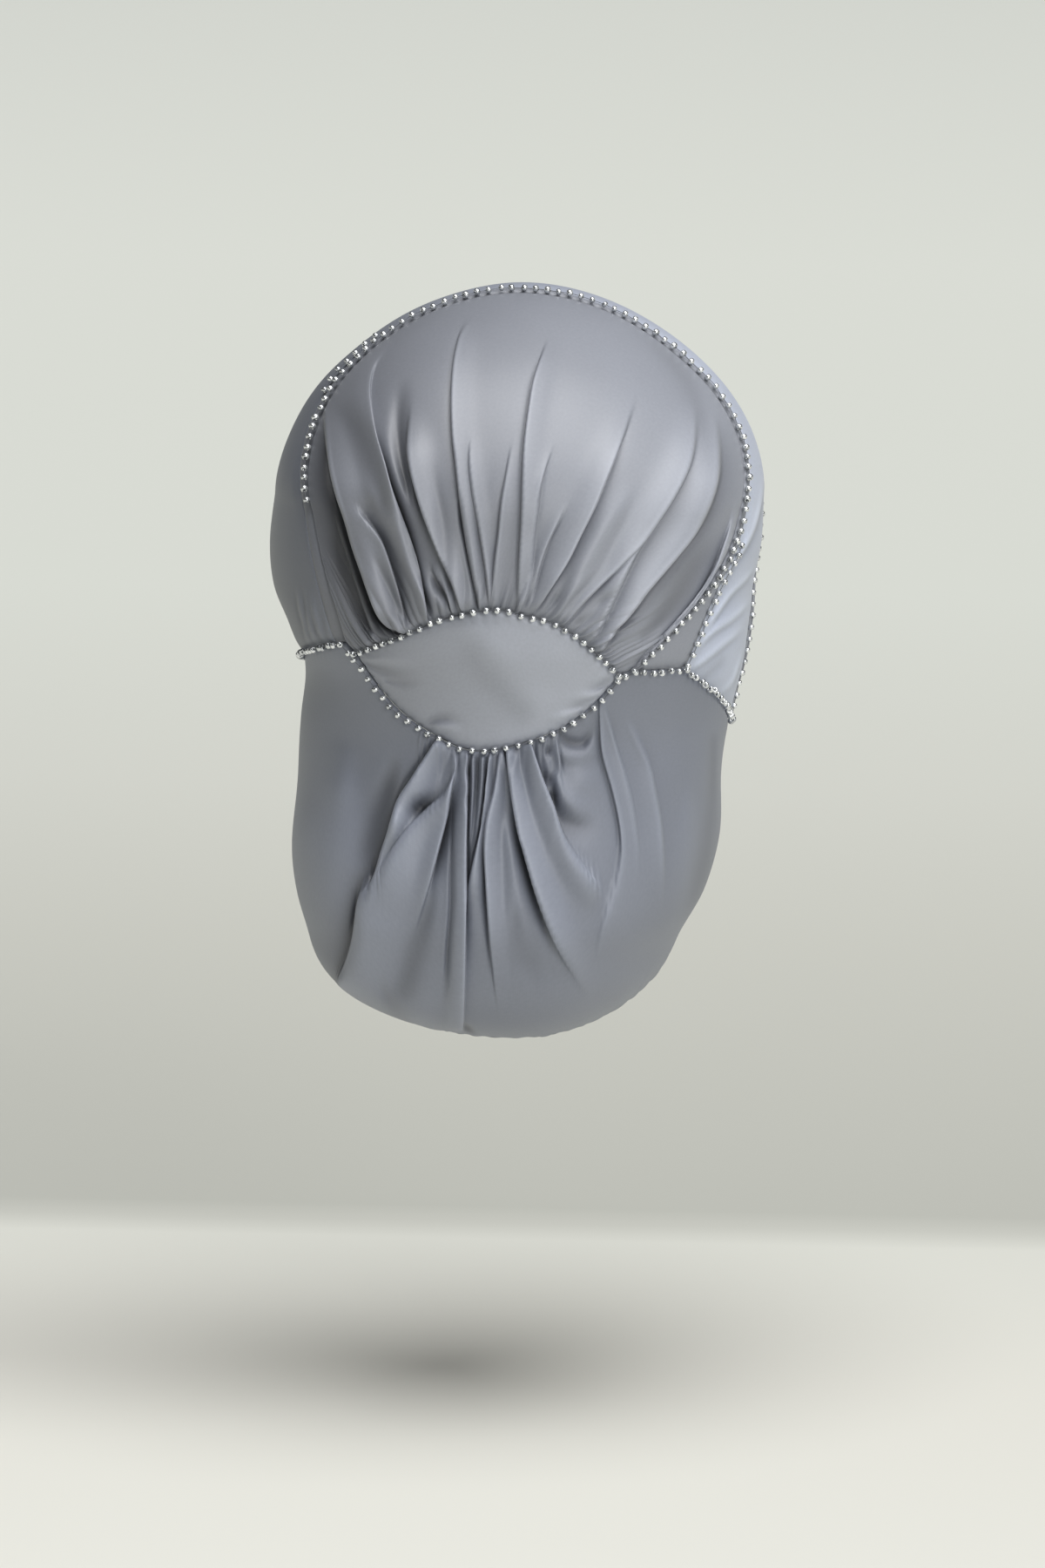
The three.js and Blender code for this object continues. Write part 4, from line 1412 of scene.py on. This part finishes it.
class NodeGroup:
    """A node tree with named inputs and outputs, built on its first use."""

    NAME = ""
    KIND = ""
    INPUTS: tuple[tuple[str, str, object], ...] = ()
    OUTPUTS: tuple[tuple[str, str], ...] = ()

    @classmethod
    def get(cls) -> bpy.types.NodeTree:
        """The tree."""
        if cls.NAME in bpy.data.node_groups:
            return bpy.data.node_groups[cls.NAME]
        tree = bpy.data.node_groups.new(cls.NAME, cls.KIND)
        for name, kind, default in cls.INPUTS:
            kind = "NodeSocket" + kind
            socket = tree.interface.new_socket(name, in_out="INPUT", socket_type=kind)
            if default is not None:
                socket.default_value = default
        for name, kind in cls.OUTPUTS:
            tree.interface.new_socket(name, in_out="OUTPUT", socket_type="NodeSocket" + kind)
        nodes = NodeTree(tree)
        results = cls.make(nodes, nodes.add("NodeGroupInput").outputs)
        nodes.add("NodeGroupOutput", dict(enumerate(results)))
        return tree

    @classmethod
    def make(cls, nodes: NodeTree, entry: bpy.types.NodeOutputs) -> tuple[Socket, ...]:
        """Build the nodes and return what goes to each output."""
        raise NotImplementedError


class WeaveGroup(NodeGroup):
    """A shader group that works out a fine satin weave on the flat cloth."""

    NAME = "fine_weave"
    KIND = "ShaderNodeTree"
    INPUTS = (("Cloth", "Vector", None), ("Threads per metre", "Float", 2200.0))
    OUTPUTS = (("Height", "Float"), ("Tone", "Float"))
    SLANT = 0.5
    GRAIN_SCALE = 0.35
    GRAIN_DETAIL = 3.0

    @classmethod
    def make(cls, nodes: NodeTree, entry: bpy.types.NodeOutputs) -> tuple[Socket, ...]:
        """Cross the warp with a slanting weft, and add a grain along the threads."""
        threads = nodes.scaled(entry[0], entry[1])
        split = nodes.axes(threads)
        warp = nodes.math("SINE", nodes.math("MULTIPLY", split[0], math.pi))
        diagonal = nodes.math("ADD", split[1], nodes.math("MULTIPLY", split[0], cls.SLANT))
        weft = nodes.math("SINE", nodes.math("MULTIPLY", diagonal, math.pi))
        height = nodes.math("MULTIPLY", nodes.math("ABSOLUTE", warp), nodes.math("ABSOLUTE", weft))
        return height, nodes.noise(threads, cls.GRAIN_SCALE, cls.GRAIN_DETAIL)


@dataclass(frozen=True)
class Satin:
    """Matt grey satin with a soft sheen, a fine weave and faint mottling.

    Each panel's copy has its own painted light and shade, which turns from one factor on the left of
    the back view to another on its right. Creases get painted shade and crests painted highlight.
    """

    name: str
    painted_light_left: float = 1.0
    painted_light_right: float = 1.0
    colour: Colour = (0.262, 0.276, 0.316)
    contrast: float = 0.07
    roughness: tuple[float, float] = (0.44, 0.52)
    gloss: float = 0.7
    sheen: float = 0.05
    sheen_roughness: float = 0.45
    weave_depth: float = 0.00003
    bump_strength: float = 0.5
    turn_width: float = 0.07
    deepest: float = 5.0
    crease_painted_shade: float = 0.33
    proudest: float = 3.5
    crest_painted_highlight: float = 1.36

    PAINTED_SHADING = "painted_shading"
    GRAIN_SHARE = 0.55
    MOTTLE_SHARE = 0.45
    MOTTLE_SCALE = 26.0
    MOTTLE_DETAIL = 4.0
    MOTTLE_STOPS = (0.30, 0.70)
    CREPE_SCALE = 900.0
    CREPE_SHARE = 1.2

    def _shade(self, factor: float) -> Colour:
        """The cloth's colour, lighter or darker by a factor."""
        red, green, blue = (channel * factor for channel in self.colour)
        return (red, green, blue)

    def _tone(self, nodes: MaterialNodes) -> Socket:
        """The painted light and shade across the panel, and the painted shade and highlight of its
        folds.
        """
        across = nodes.axes(nodes.place["Object"])[0]
        sides = (self.turn_width, -self.turn_width)
        # Painted light and shade that turns from the left of the back view to its right.
        turned = nodes.between(across, sides, (self.painted_light_left, self.painted_light_right))
        # Painted shade where the folds are deep and painted highlight where they stand proud.
        painted_shading = nodes.add("ShaderNodeAttribute", attribute_name=self.PAINTED_SHADING).outputs["Fac"]
        deep = nodes.between(painted_shading, (0.0, self.deepest), (1.0, self.crease_painted_shade))
        proud = nodes.between(painted_shading, (-self.proudest, 0.0), (self.crest_painted_highlight, 1.0))
        return nodes.math("MULTIPLY", turned, nodes.math("MULTIPLY", deep, proud))

    def build(self) -> bpy.types.Material:
        """Make the material."""
        nodes = MaterialNodes(self.name)
        cloth = {"Cloth": nodes.place["UV"]}
        weave = nodes.add("ShaderNodeGroup", cloth, node_tree=WeaveGroup.get())
        mottle = nodes.noise(nodes.place["Object"], self.MOTTLE_SCALE, self.MOTTLE_DETAIL)
        grain = nodes.math("MULTIPLY", weave.outputs["Tone"], self.GRAIN_SHARE)
        mixed = nodes.math("ADD", grain, nodes.math("MULTIPLY", mottle, self.MOTTLE_SHARE))
        shades = [self._shade(1.0 - self.contrast), self._shade(1.0 + self.contrast)]
        colours = nodes.ramp(mixed, list(zip(self.MOTTLE_STOPS, shades)))
        crepe = nodes.noise(nodes.place["Object"], self.CREPE_SCALE)
        crepe = nodes.math("MULTIPLY", crepe, self.CREPE_SHARE)
        height = nodes.math("ADD", weave.outputs["Height"], crepe)
        bump = {"Height": height, "Strength": self.bump_strength, "Distance": self.weave_depth}
        return nodes.finished(
            {
                "Base Color": nodes.scaled(colours, self._tone(nodes)),
                "Roughness": nodes.between(mixed, (0.0, 1.0), self.roughness),
                "Normal": nodes.add("ShaderNodeBump", bump).outputs[0],
                "Specular IOR Level": self.gloss,
                "Sheen Weight": self.sheen,
                "Sheen Roughness": self.sheen_roughness,
            }
        )


@dataclass(frozen=True)
class SilverBeadGlass:
    """Clear glass over a silver lining, a little different from bead to bead."""

    name: str = "silver_beads"
    dark: Colour = (0.50, 0.52, 0.54)
    pale: Colour = (0.90, 0.92, 0.93)
    stops: tuple[float, float] = (0.35, 0.65)
    scale: float = 240.0
    metallic: float = 0.8
    roughness: float = 0.16
    coat_roughness: float = 0.03

    def build(self) -> bpy.types.Material:
        """Make the material."""
        nodes = MaterialNodes(self.name)
        vary = nodes.noise(nodes.place["Object"], self.scale, 1.0)
        return nodes.finished(
            {
                "Base Color": nodes.ramp(vary, list(zip(self.stops, (self.dark, self.pale)))),
                "Metallic": self.metallic,
                "Roughness": self.roughness,
                "Coat Weight": 1.0,
                "Coat Roughness": self.coat_roughness,
            }
        )


@dataclass(frozen=True)
class SewingThread:
    """Grey polyester thread, with darker and paler turns of its twist."""

    name: str = "sewing_thread"
    dark: Colour = (0.072, 0.075, 0.084)
    pale: Colour = (0.18, 0.1875, 0.21)
    scale: float = 1500.0
    roughness: float = 0.7

    def build(self) -> bpy.types.Material:
        """Make the material."""
        nodes = MaterialNodes(self.name)
        twist = nodes.noise(nodes.place["Object"], self.scale)
        colours = nodes.ramp(twist, [(0.0, self.dark), (1.0, self.pale)])
        return nodes.finished({"Base Color": colours, "Roughness": self.roughness})


class BeadTree(NodeGroup):
    """The node tree that strings small round beads on a thread along a line."""

    NAME = "string_of_beads"
    KIND = "GeometryNodeTree"
    INPUTS = (
        ("Line", "Geometry", None),
        ("Pitch", "Float", 0.0045),
        ("Ring radius", "Float", 0.0008),
        ("Glass radius", "Float", 0.0006),
        ("Thread radius", "Float", 0.0002),
        ("Unevenness", "Float", 0.0004),
        ("Seed", "Int", 1),
        ("Glass", "Material", None),
        ("Thread", "Material", None),
    )
    OUTPUTS = (("Beads", "Geometry"),)
    RING_SIDES = 12
    GLASS_SIDES = 8
    THREAD_SIDES = 5
    TILT = 0.45
    SPIN = 3.0
    SIZES = (0.88, 1.06)
    LENGTH = 1.7

    @staticmethod
    def _circle(nodes: NodeTree, sides: int, radius: Socket) -> Socket:
        """A circle of a few sides."""
        inputs = {"Resolution": sides, "Radius": radius}
        return nodes.add("GeometryNodeCurvePrimitiveCircle", inputs).outputs[0]

    @staticmethod
    def _random(nodes: NodeTree, seed: Socket, low: tuple, high: tuple) -> Socket:
        """A random vector for each bead, between two corners."""
        node = nodes.add("FunctionNodeRandomValue", {"Seed": seed}, data_type="FLOAT_VECTOR")
        nodes.connect(node, {0: low, 1: high})
        return node.outputs[0]

    @classmethod
    def _turn(cls, nodes: NodeTree, seed: Socket) -> Socket:
        """Each bead's turn: along the line, tilted a little."""
        tangent = nodes.add("GeometryNodeInputTangent").outputs[0]
        aligned = nodes.add("FunctionNodeAlignRotationToVector", {"Vector": tangent}, axis="Z")
        tilt = cls._random(nodes, seed, (-cls.TILT, -cls.TILT, 0.0), (cls.TILT, cls.TILT, cls.SPIN))
        turned = nodes.add("FunctionNodeEulerToRotation", {0: tilt}).outputs[0]
        inputs = {0: aligned.outputs[0], 1: turned}
        return nodes.add("FunctionNodeRotateRotation", inputs, rotation_space="LOCAL").outputs[0]

    @classmethod
    def _size(cls, nodes: NodeTree, seed: Socket) -> Socket:
        """Each bead's size, longer along the line."""
        node = nodes.add("FunctionNodeRandomValue", {"Seed": seed}, data_type="FLOAT")
        nodes.connect(node, {2: cls.SIZES[0], 3: cls.SIZES[1]})
        size = node.outputs[1]
        long = nodes.math("MULTIPLY", size, cls.LENGTH)
        return nodes.add("ShaderNodeCombineXYZ", {0: size, 1: size, 2: long}).outputs[0]

    @classmethod
    def make(cls, nodes: NodeTree, entry: bpy.types.NodeOutputs) -> tuple[Socket, ...]:
        """Place ring shaped beads at even lengths of the line, and draw the thread through them."""
        seed = entry["Seed"]
        line = nodes.add("GeometryNodeMeshToCurve", {0: entry["Line"]}).outputs[0]
        along = {"Curve": line, "Length": entry["Pitch"]}
        spaced = nodes.add("GeometryNodeResampleCurve", along, mode="LENGTH").outputs[0]
        ring = cls._circle(nodes, cls.RING_SIDES, entry["Ring radius"])
        wall = cls._circle(nodes, cls.GLASS_SIDES, entry["Glass radius"])
        bead = nodes.add("GeometryNodeCurveToMesh", {0: ring, 1: wall}).outputs[0]
        smooth = nodes.add("GeometryNodeSetShadeSmooth", {0: bead}).outputs[0]
        wander = cls._random(nodes, seed, (-1.0, -1.0, -1.0), (1.0, 1.0, 1.0))
        offset = nodes.scaled(wander, entry["Unevenness"])
        moved = nodes.add("GeometryNodeSetPosition", {0: spaced, "Offset": offset}).outputs[0]
        turn, size = cls._turn(nodes, seed), cls._size(nodes, seed)
        strung = {"Points": moved, "Instance": smooth, "Rotation": turn, "Scale": size}
        beads = nodes.add("GeometryNodeInstanceOnPoints", strung).outputs[0]
        real = nodes.add("GeometryNodeRealizeInstances", {0: beads}).outputs[0]
        finish = {0: real, "Material": entry["Glass"]}
        glass = nodes.add("GeometryNodeSetMaterial", finish).outputs[0]
        section = cls._circle(nodes, cls.THREAD_SIDES, entry["Thread radius"])
        drawn = {0: moved, 1: section, "Fill Caps": True}
        strand = nodes.add("GeometryNodeCurveToMesh", drawn).outputs[0]
        finish = {0: strand, "Material": entry["Thread"]}
        thread = nodes.add("GeometryNodeSetMaterial", finish).outputs[0]
        both = nodes.add("GeometryNodeJoinGeometry")
        for piece in (thread, glass):
            nodes.connect(both, {0: piece})
        return (both.outputs[0],)


@dataclass
class BeadRow:
    """A row of beads sewn along a seam."""

    name: str
    seam: Seam
    seed: int
    pitch: float = 4.5
    lift: float = 1.0
    end_gap: float = 1.6
    bead_radius: float = 1.45
    hole_radius: float = 0.25
    thread_radius: float = 0.13
    unevenness: float = 0.35

    LEAST_POINTS = 6

    def _line(self) -> bpy.types.Object:
        """The line that the beads follow, just above the seam."""
        count = max(int(self.seam.length), self.LEAST_POINTS)
        clear = self.end_gap / self.seam.length
        directions = self.seam.at(np.linspace(clear, 1 - clear, count))
        base = FORM.point(directions)
        points = base + FORM.normal(base) * self.lift
        mesh = bpy.data.meshes.new(self.name)
        edges = [(i, i + 1) for i in range(count - 1)]
        mesh.from_pydata((points * MM).tolist(), edges, [])
        return placed(self.name + "_line", mesh)

    def build(self, glass: bpy.types.Material, thread: bpy.types.Material) -> bpy.types.Object:
        """String the beads and turn the result into a plain mesh.

        Args:
            glass: The beads' material.
            thread: The material of the thread that carries them.

        Returns:
            The finished piece.
        """
        line = self._line()
        modifier = line.modifiers.new("beads", "NODES")
        modifier.node_group = BeadTree.get()
        glass_radius = (self.bead_radius - self.hole_radius) / 2
        values = {
            "Pitch": self.pitch * MM,
            "Ring radius": (self.hole_radius + glass_radius) * MM,
            "Glass radius": glass_radius * MM,
            "Thread radius": self.thread_radius * MM,
            "Unevenness": self.unevenness * MM,
            "Seed": self.seed,
            "Glass": glass,
            "Thread": thread,
        }
        for item in modifier.node_group.interface.items_tree:
            if item.item_type == "SOCKET" and item.name in values:
                modifier[item.identifier] = values[item.name]
        graph = bpy.context.evaluated_depsgraph_get()
        mesh = bpy.data.meshes.new_from_object(line.evaluated_get(graph), depsgraph=graph)
        bpy.data.objects.remove(line)
        piece = placed(self.name + "_strung", mesh)
        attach(piece, BODY)
        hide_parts(self.name)
        LOG.info("%s: %d faces", self.name, len(mesh.polygons))
        return piece


@dataclass
class Crown:
    """The gathered crown and the narrow strip beyond its outer seam."""

    seams: SeamPlan
    columns: int = 760
    rows: int = 62
    strip_columns: int = 420
    strip_rows: int = 8

    def build(self, satin: bpy.types.Material) -> None:
        """Make both panels."""
        ClothPanel(
            "crown_panel", self.seams.patch_top, self.seams.crown, self.columns, self.rows,
            [
                DrawnFolds(CROWN_FOLDS, CROWN_HOLLOWS),
                Gathers(stretch=(0.0, 1.0), count=44, height=2.8, reach=(5.0, 24.0), seed=11),
                Undulation(height=0.35, wavelength=45.0, seed=12),
                SeamPuckers(),
            ],
            flat=(0.36, 0.16), area=0.036, held="gathered", rests_on=["crown_strip", "back_patch"],
            crowding=0.3, gathered_start=True,
        ).build(satin)
        ClothPanel(
            "crown_strip", self.seams.crown, self.seams.strip, self.strip_columns, self.strip_rows,
            [SeamPuckers(height=0.2)],
            flat=(0.42, 0.01), area=0.0032, held="stretched", rests_on=["crown_panel", "side_band"],
            end_groove=0.2,
        ).build(satin)


@dataclass
class Bands:
    """The smooth band over the head and the pleated band at the brow."""

    seams: SeamPlan
    columns: int = 320
    side_rows: int = 90
    front_rows: int = 100

    def build(self, side_satin: bpy.types.Material, front_satin: bpy.types.Material) -> None:
        """Make both bands."""
        ClothPanel(
            "side_band", self.seams.strip, self.seams.band, self.columns, self.side_rows,
            [
                DrawnFolds(SIDE_FOLDS),
                Undulation(height=0.3, wavelength=60.0, seed=21),
                SeamPuckers(),
            ],
            flat=(0.42, 0.09), area=0.028, held="stretched", rests_on=["crown_strip", "front_band"],
            start_groove=0.2,
        ).build(side_satin)
        ClothPanel(
            "front_band", self.seams.band, self.seams.brow, self.columns, self.front_rows,
            [LengthPleats(count=5, height=2.4, seed=31), SeamPuckers()],
            flat=(0.36, 0.14), area=0.036, held="folded", rests_on=["side_band", "hem"],
        ).build(front_satin)


@dataclass
class BackPatch:
    """The almond shaped patch at the back of the head."""

    seams: SeamPlan
    columns: int = 160
    rows: int = 70

    def build(self, satin: bpy.types.Material) -> None:
        """Make the patch."""
        ClothPanel(
            "back_patch", self.seams.patch_top, self.seams.patch_bottom, self.columns, self.rows,
            [
                DrawnFolds(PATCH_FOLDS),
                Undulation(height=0.2, wavelength=40.0, seed=41),
                SeamPuckers(),
            ],
            flat=(0.115, 0.056), area=0.0044, held="stretched", rests_on=["crown_panel", "pouch"],
        ).build(satin)


@dataclass
class Pouch:
    """The hanging pouch, gathered under the patch."""

    seams: SeamPlan
    columns: int = 700
    rows: int = 66
    patch_stretch: int = 4
    patch_share: float = 2.4
    gathered: tuple[float, float] = (0.3, 0.76)

    def build(self, satin: bpy.types.Material) -> None:
        """Make the pouch."""
        top = self.seams.pouch_top
        edges = [0.0, *top.corners, top.length]
        ends = edges[self.patch_stretch : self.patch_stretch + 2]
        start, end = (edge / top.length for edge in ends)
        gathered = tuple(start + share * (end - start) for share in self.gathered)
        ClothPanel(
            "pouch", top, self.seams.neck_fanned, self.columns, self.rows,
            [
                DrawnFolds(POUCH_FOLDS, POUCH_HOLLOWS),
                Gathers(stretch=gathered, count=22, height=2.0, reach=(6.0, 26.0), seed=51),
                Gathers(
                    stretch=(0.0, 1.0), count=26, height=1.8, reach=(4.0, 10.0), seed=52,
                    at_end=True, softness=0.2,
                ),
                Undulation(height=0.6, wavelength=60.0, seed=53),
                SeamPuckers(at_end=False),
            ],
            flat=(0.46, 0.17), area=0.056, held="gathered", rests_on=["back_patch", "hem"],
            shares={self.patch_stretch: self.patch_share}, crowding=0.25, gathered_start=True,
            gathered_end=True,
        ).build(satin)


@dataclass
class Hem:
    """The narrow elastic hem round the opening."""

    seams: SeamPlan
    columns: int = 620
    rows: int = 14

    def build(self, satin: bpy.types.Material) -> None:
        """Make the hem."""
        ClothPanel(
            "hem", self.seams.hem_outer, self.seams.hem_inner, self.columns, self.rows,
            [HemPuckers(count=96, height=0.5)],
            flat=(0.62, 0.0105), held="gathered", rests_on=["front_band", "pouch"], looped=True,
            gathered_end=True,
        ).build(satin)


@dataclass
class BeadWork:
    """Every row of beads on the turban."""

    seams: SeamPlan
    strip_left: tuple[float, float] = (0.26, 0.34)
    strip_right: tuple[float, float] = (0.86, 1.0)
    crown_start: float = 0.135
    first_seed: int = 71

    def build(self, glass: bpy.types.Material, thread: bpy.types.Material) -> None:
        """Make the rows along the seams that carry beads."""
        rows = {
            "bead_row_crown": self.seams.crown.part(self.crown_start, 1.0),
            "bead_row_strip_left": self.seams.strip.part(*self.strip_left),
            "bead_row_strip_right": self.seams.strip.part(*self.strip_right),
            "bead_row_band": self.seams.band,
            "bead_row_patch_top": self.seams.patch_top,
            "bead_row_patch_bottom": self.seams.patch_bottom,
            "bead_row_left": self.seams.left,
            "bead_row_right": self.seams.right,
        }
        for seed, (name, seam) in enumerate(rows.items(), start=self.first_seed):
            BeadRow(name, seam, seed).build(glass, thread)


@dataclass(frozen=True)
class SoftLight:
    """A broad soft light from far away, with its angles in degrees."""

    name: str
    azimuth: float
    elevation: float
    strength: float
    breadth: float

    def build(self) -> None:
        """Make the light."""
        back = towards(self.azimuth, self.elevation)
        data = bpy.data.lights.new(self.name, "SUN")
        data.angle = math.radians(self.breadth)
        data.energy = self.strength
        lamp = placed(self.name, data)
        lamp.location = back
        aim(lamp, back)


@dataclass
class Studio:
    """The pale floor, the soft lights and the camera."""

    azimuth: float = 186.0
    pitch: float = 9.3
    distance: float = 3.5
    lens: float = 206.5
    sensor: float = 36.0
    sight: float = 60.0
    scale: float = 2.95
    centre: tuple[float, float] = (596.0, 620.0)
    frame: tuple[int, int] = (1200, 1800)
    floor_level: float = -0.333
    floor_size: float = 80.0
    paper_roughness: float = 0.9
    room_colour: Colour = (0.93, 0.96, 1.0)
    room_strength: float = 0.04

    LIGHTS = (
        SoftLight("window_light", azimuth=254.0, elevation=44.0, strength=0.92, breadth=30.0),
        SoftLight("room_light", azimuth=208.0, elevation=18.0, strength=1.13, breadth=30.0),
        SoftLight("ceiling_light", azimuth=212.0, elevation=78.0, strength=2.98, breadth=46.0),
    )
    TINT_RANGE = (-8.0, 0.4)
    TINTS = (
        (-8.0, (0.510, 0.524, 0.486)),
        (0.4, (0.652, 0.652, 0.599)),
        (-4.2, (0.559, 0.573, 0.528)),
        (-2.2, (0.547, 0.562, 0.516)),
        (-1.44, (0.510, 0.516, 0.472)),
        (-0.95, (0.461, 0.464, 0.420)),
        (-0.3, (0.397, 0.401, 0.363)),
        (-0.27, (0.569, 0.573, 0.524)),
        (0.0, (0.615, 0.607, 0.554)),
    )

    def _camera(self) -> None:
        """Stand the camera behind the turban, at the angle of the photograph."""
        turn = math.radians(self.azimuth)
        back = towards(self.azimuth, self.pitch)
        right = Vector((math.cos(turn), math.sin(turn), 0.0))
        across = (self.frame[0] / 2 - self.centre[0]) / self.scale * MM
        down = (self.frame[1] / 2 - self.centre[1]) / self.scale * MM
        down = down / math.cos(math.radians(self.pitch))
        data = bpy.data.cameras.new("camera")
        data.lens = self.lens
        data.sensor_width = self.sensor
        data.clip_end = self.sight
        camera = placed("camera", data)
        camera.location = right * across - Vector((0.0, 0.0, down)) + back * self.distance
        aim(camera, back)
        bpy.context.scene.camera = camera

    def _floor(self) -> None:
        """Lay a large pale floor whose tone changes with the distance behind the turban."""
        half = self.floor_size / 2
        sides = ((-half, -half), (half, -half), (half, half), (-half, half))
        corners = [(x, y, self.floor_level) for x, y in sides]
        mesh = bpy.data.meshes.new("floor")
        mesh.from_pydata(corners, [], [(0, 1, 2, 3)])
        nodes = MaterialNodes("pale_paper")
        low, high = self.TINT_RANGE
        depth = nodes.between(nodes.axes(nodes.place["Object"])[1], self.TINT_RANGE, (0.0, 1.0))
        tint = nodes.ramp(depth, [((y - low) / (high - low), colour) for y, colour in self.TINTS])
        paper = {"Base Color": tint, "Roughness": self.paper_roughness}
        mesh.materials.append(nodes.finished(paper))
        floor = placed("floor", mesh)

    def build(self) -> None:
        """Make the floor, the lights, the camera and the light of the room."""
        self._floor()
        for light in self.LIGHTS:
            light.build()
        world = bpy.data.worlds.new("room")
        world.use_nodes = True
        background = world.node_tree.nodes["Background"].inputs
        background[0].default_value = (*self.room_colour, 1.0)
        background[1].default_value = self.room_strength
        bpy.context.scene.world = world
        bpy.context.scene.view_settings.view_transform = "Standard"
        self._camera()


def main() -> None:
    """Build the turban sub-assembly by sub-assembly, and the studio round it."""
    logging.basicConfig(level=logging.INFO, format="%(name)s: %(message)s")
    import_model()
    Studio().build()
    seams = SeamPlan()
    # Each copy of the satin paints its own light and shade on the left and the right of the back
    # view.
    satin = Satin("satin", painted_light_left=0.58, painted_light_right=1.0).build()
    Crown(seams).build(satin)
    side = Satin("satin_band", painted_light_left=0.55, painted_light_right=1.74, colour=(0.252, 0.273, 0.326))
    Bands(seams).build(side.build(), satin)
    patch = Satin("satin_patch", painted_light_left=1.02, painted_light_right=1.56, turn_width=0.045)
    BackPatch(seams).build(patch.build())
    pouch = Satin("satin_pouch", painted_light_left=0.78, painted_light_right=0.75, colour=(0.252, 0.273, 0.330))
    Pouch(seams).build(pouch.build())
    Hem(seams).build(satin)
    BeadWork(seams).build(SilverBeadGlass().build(), SewingThread().build())


if __name__ == "__main__":
    main()
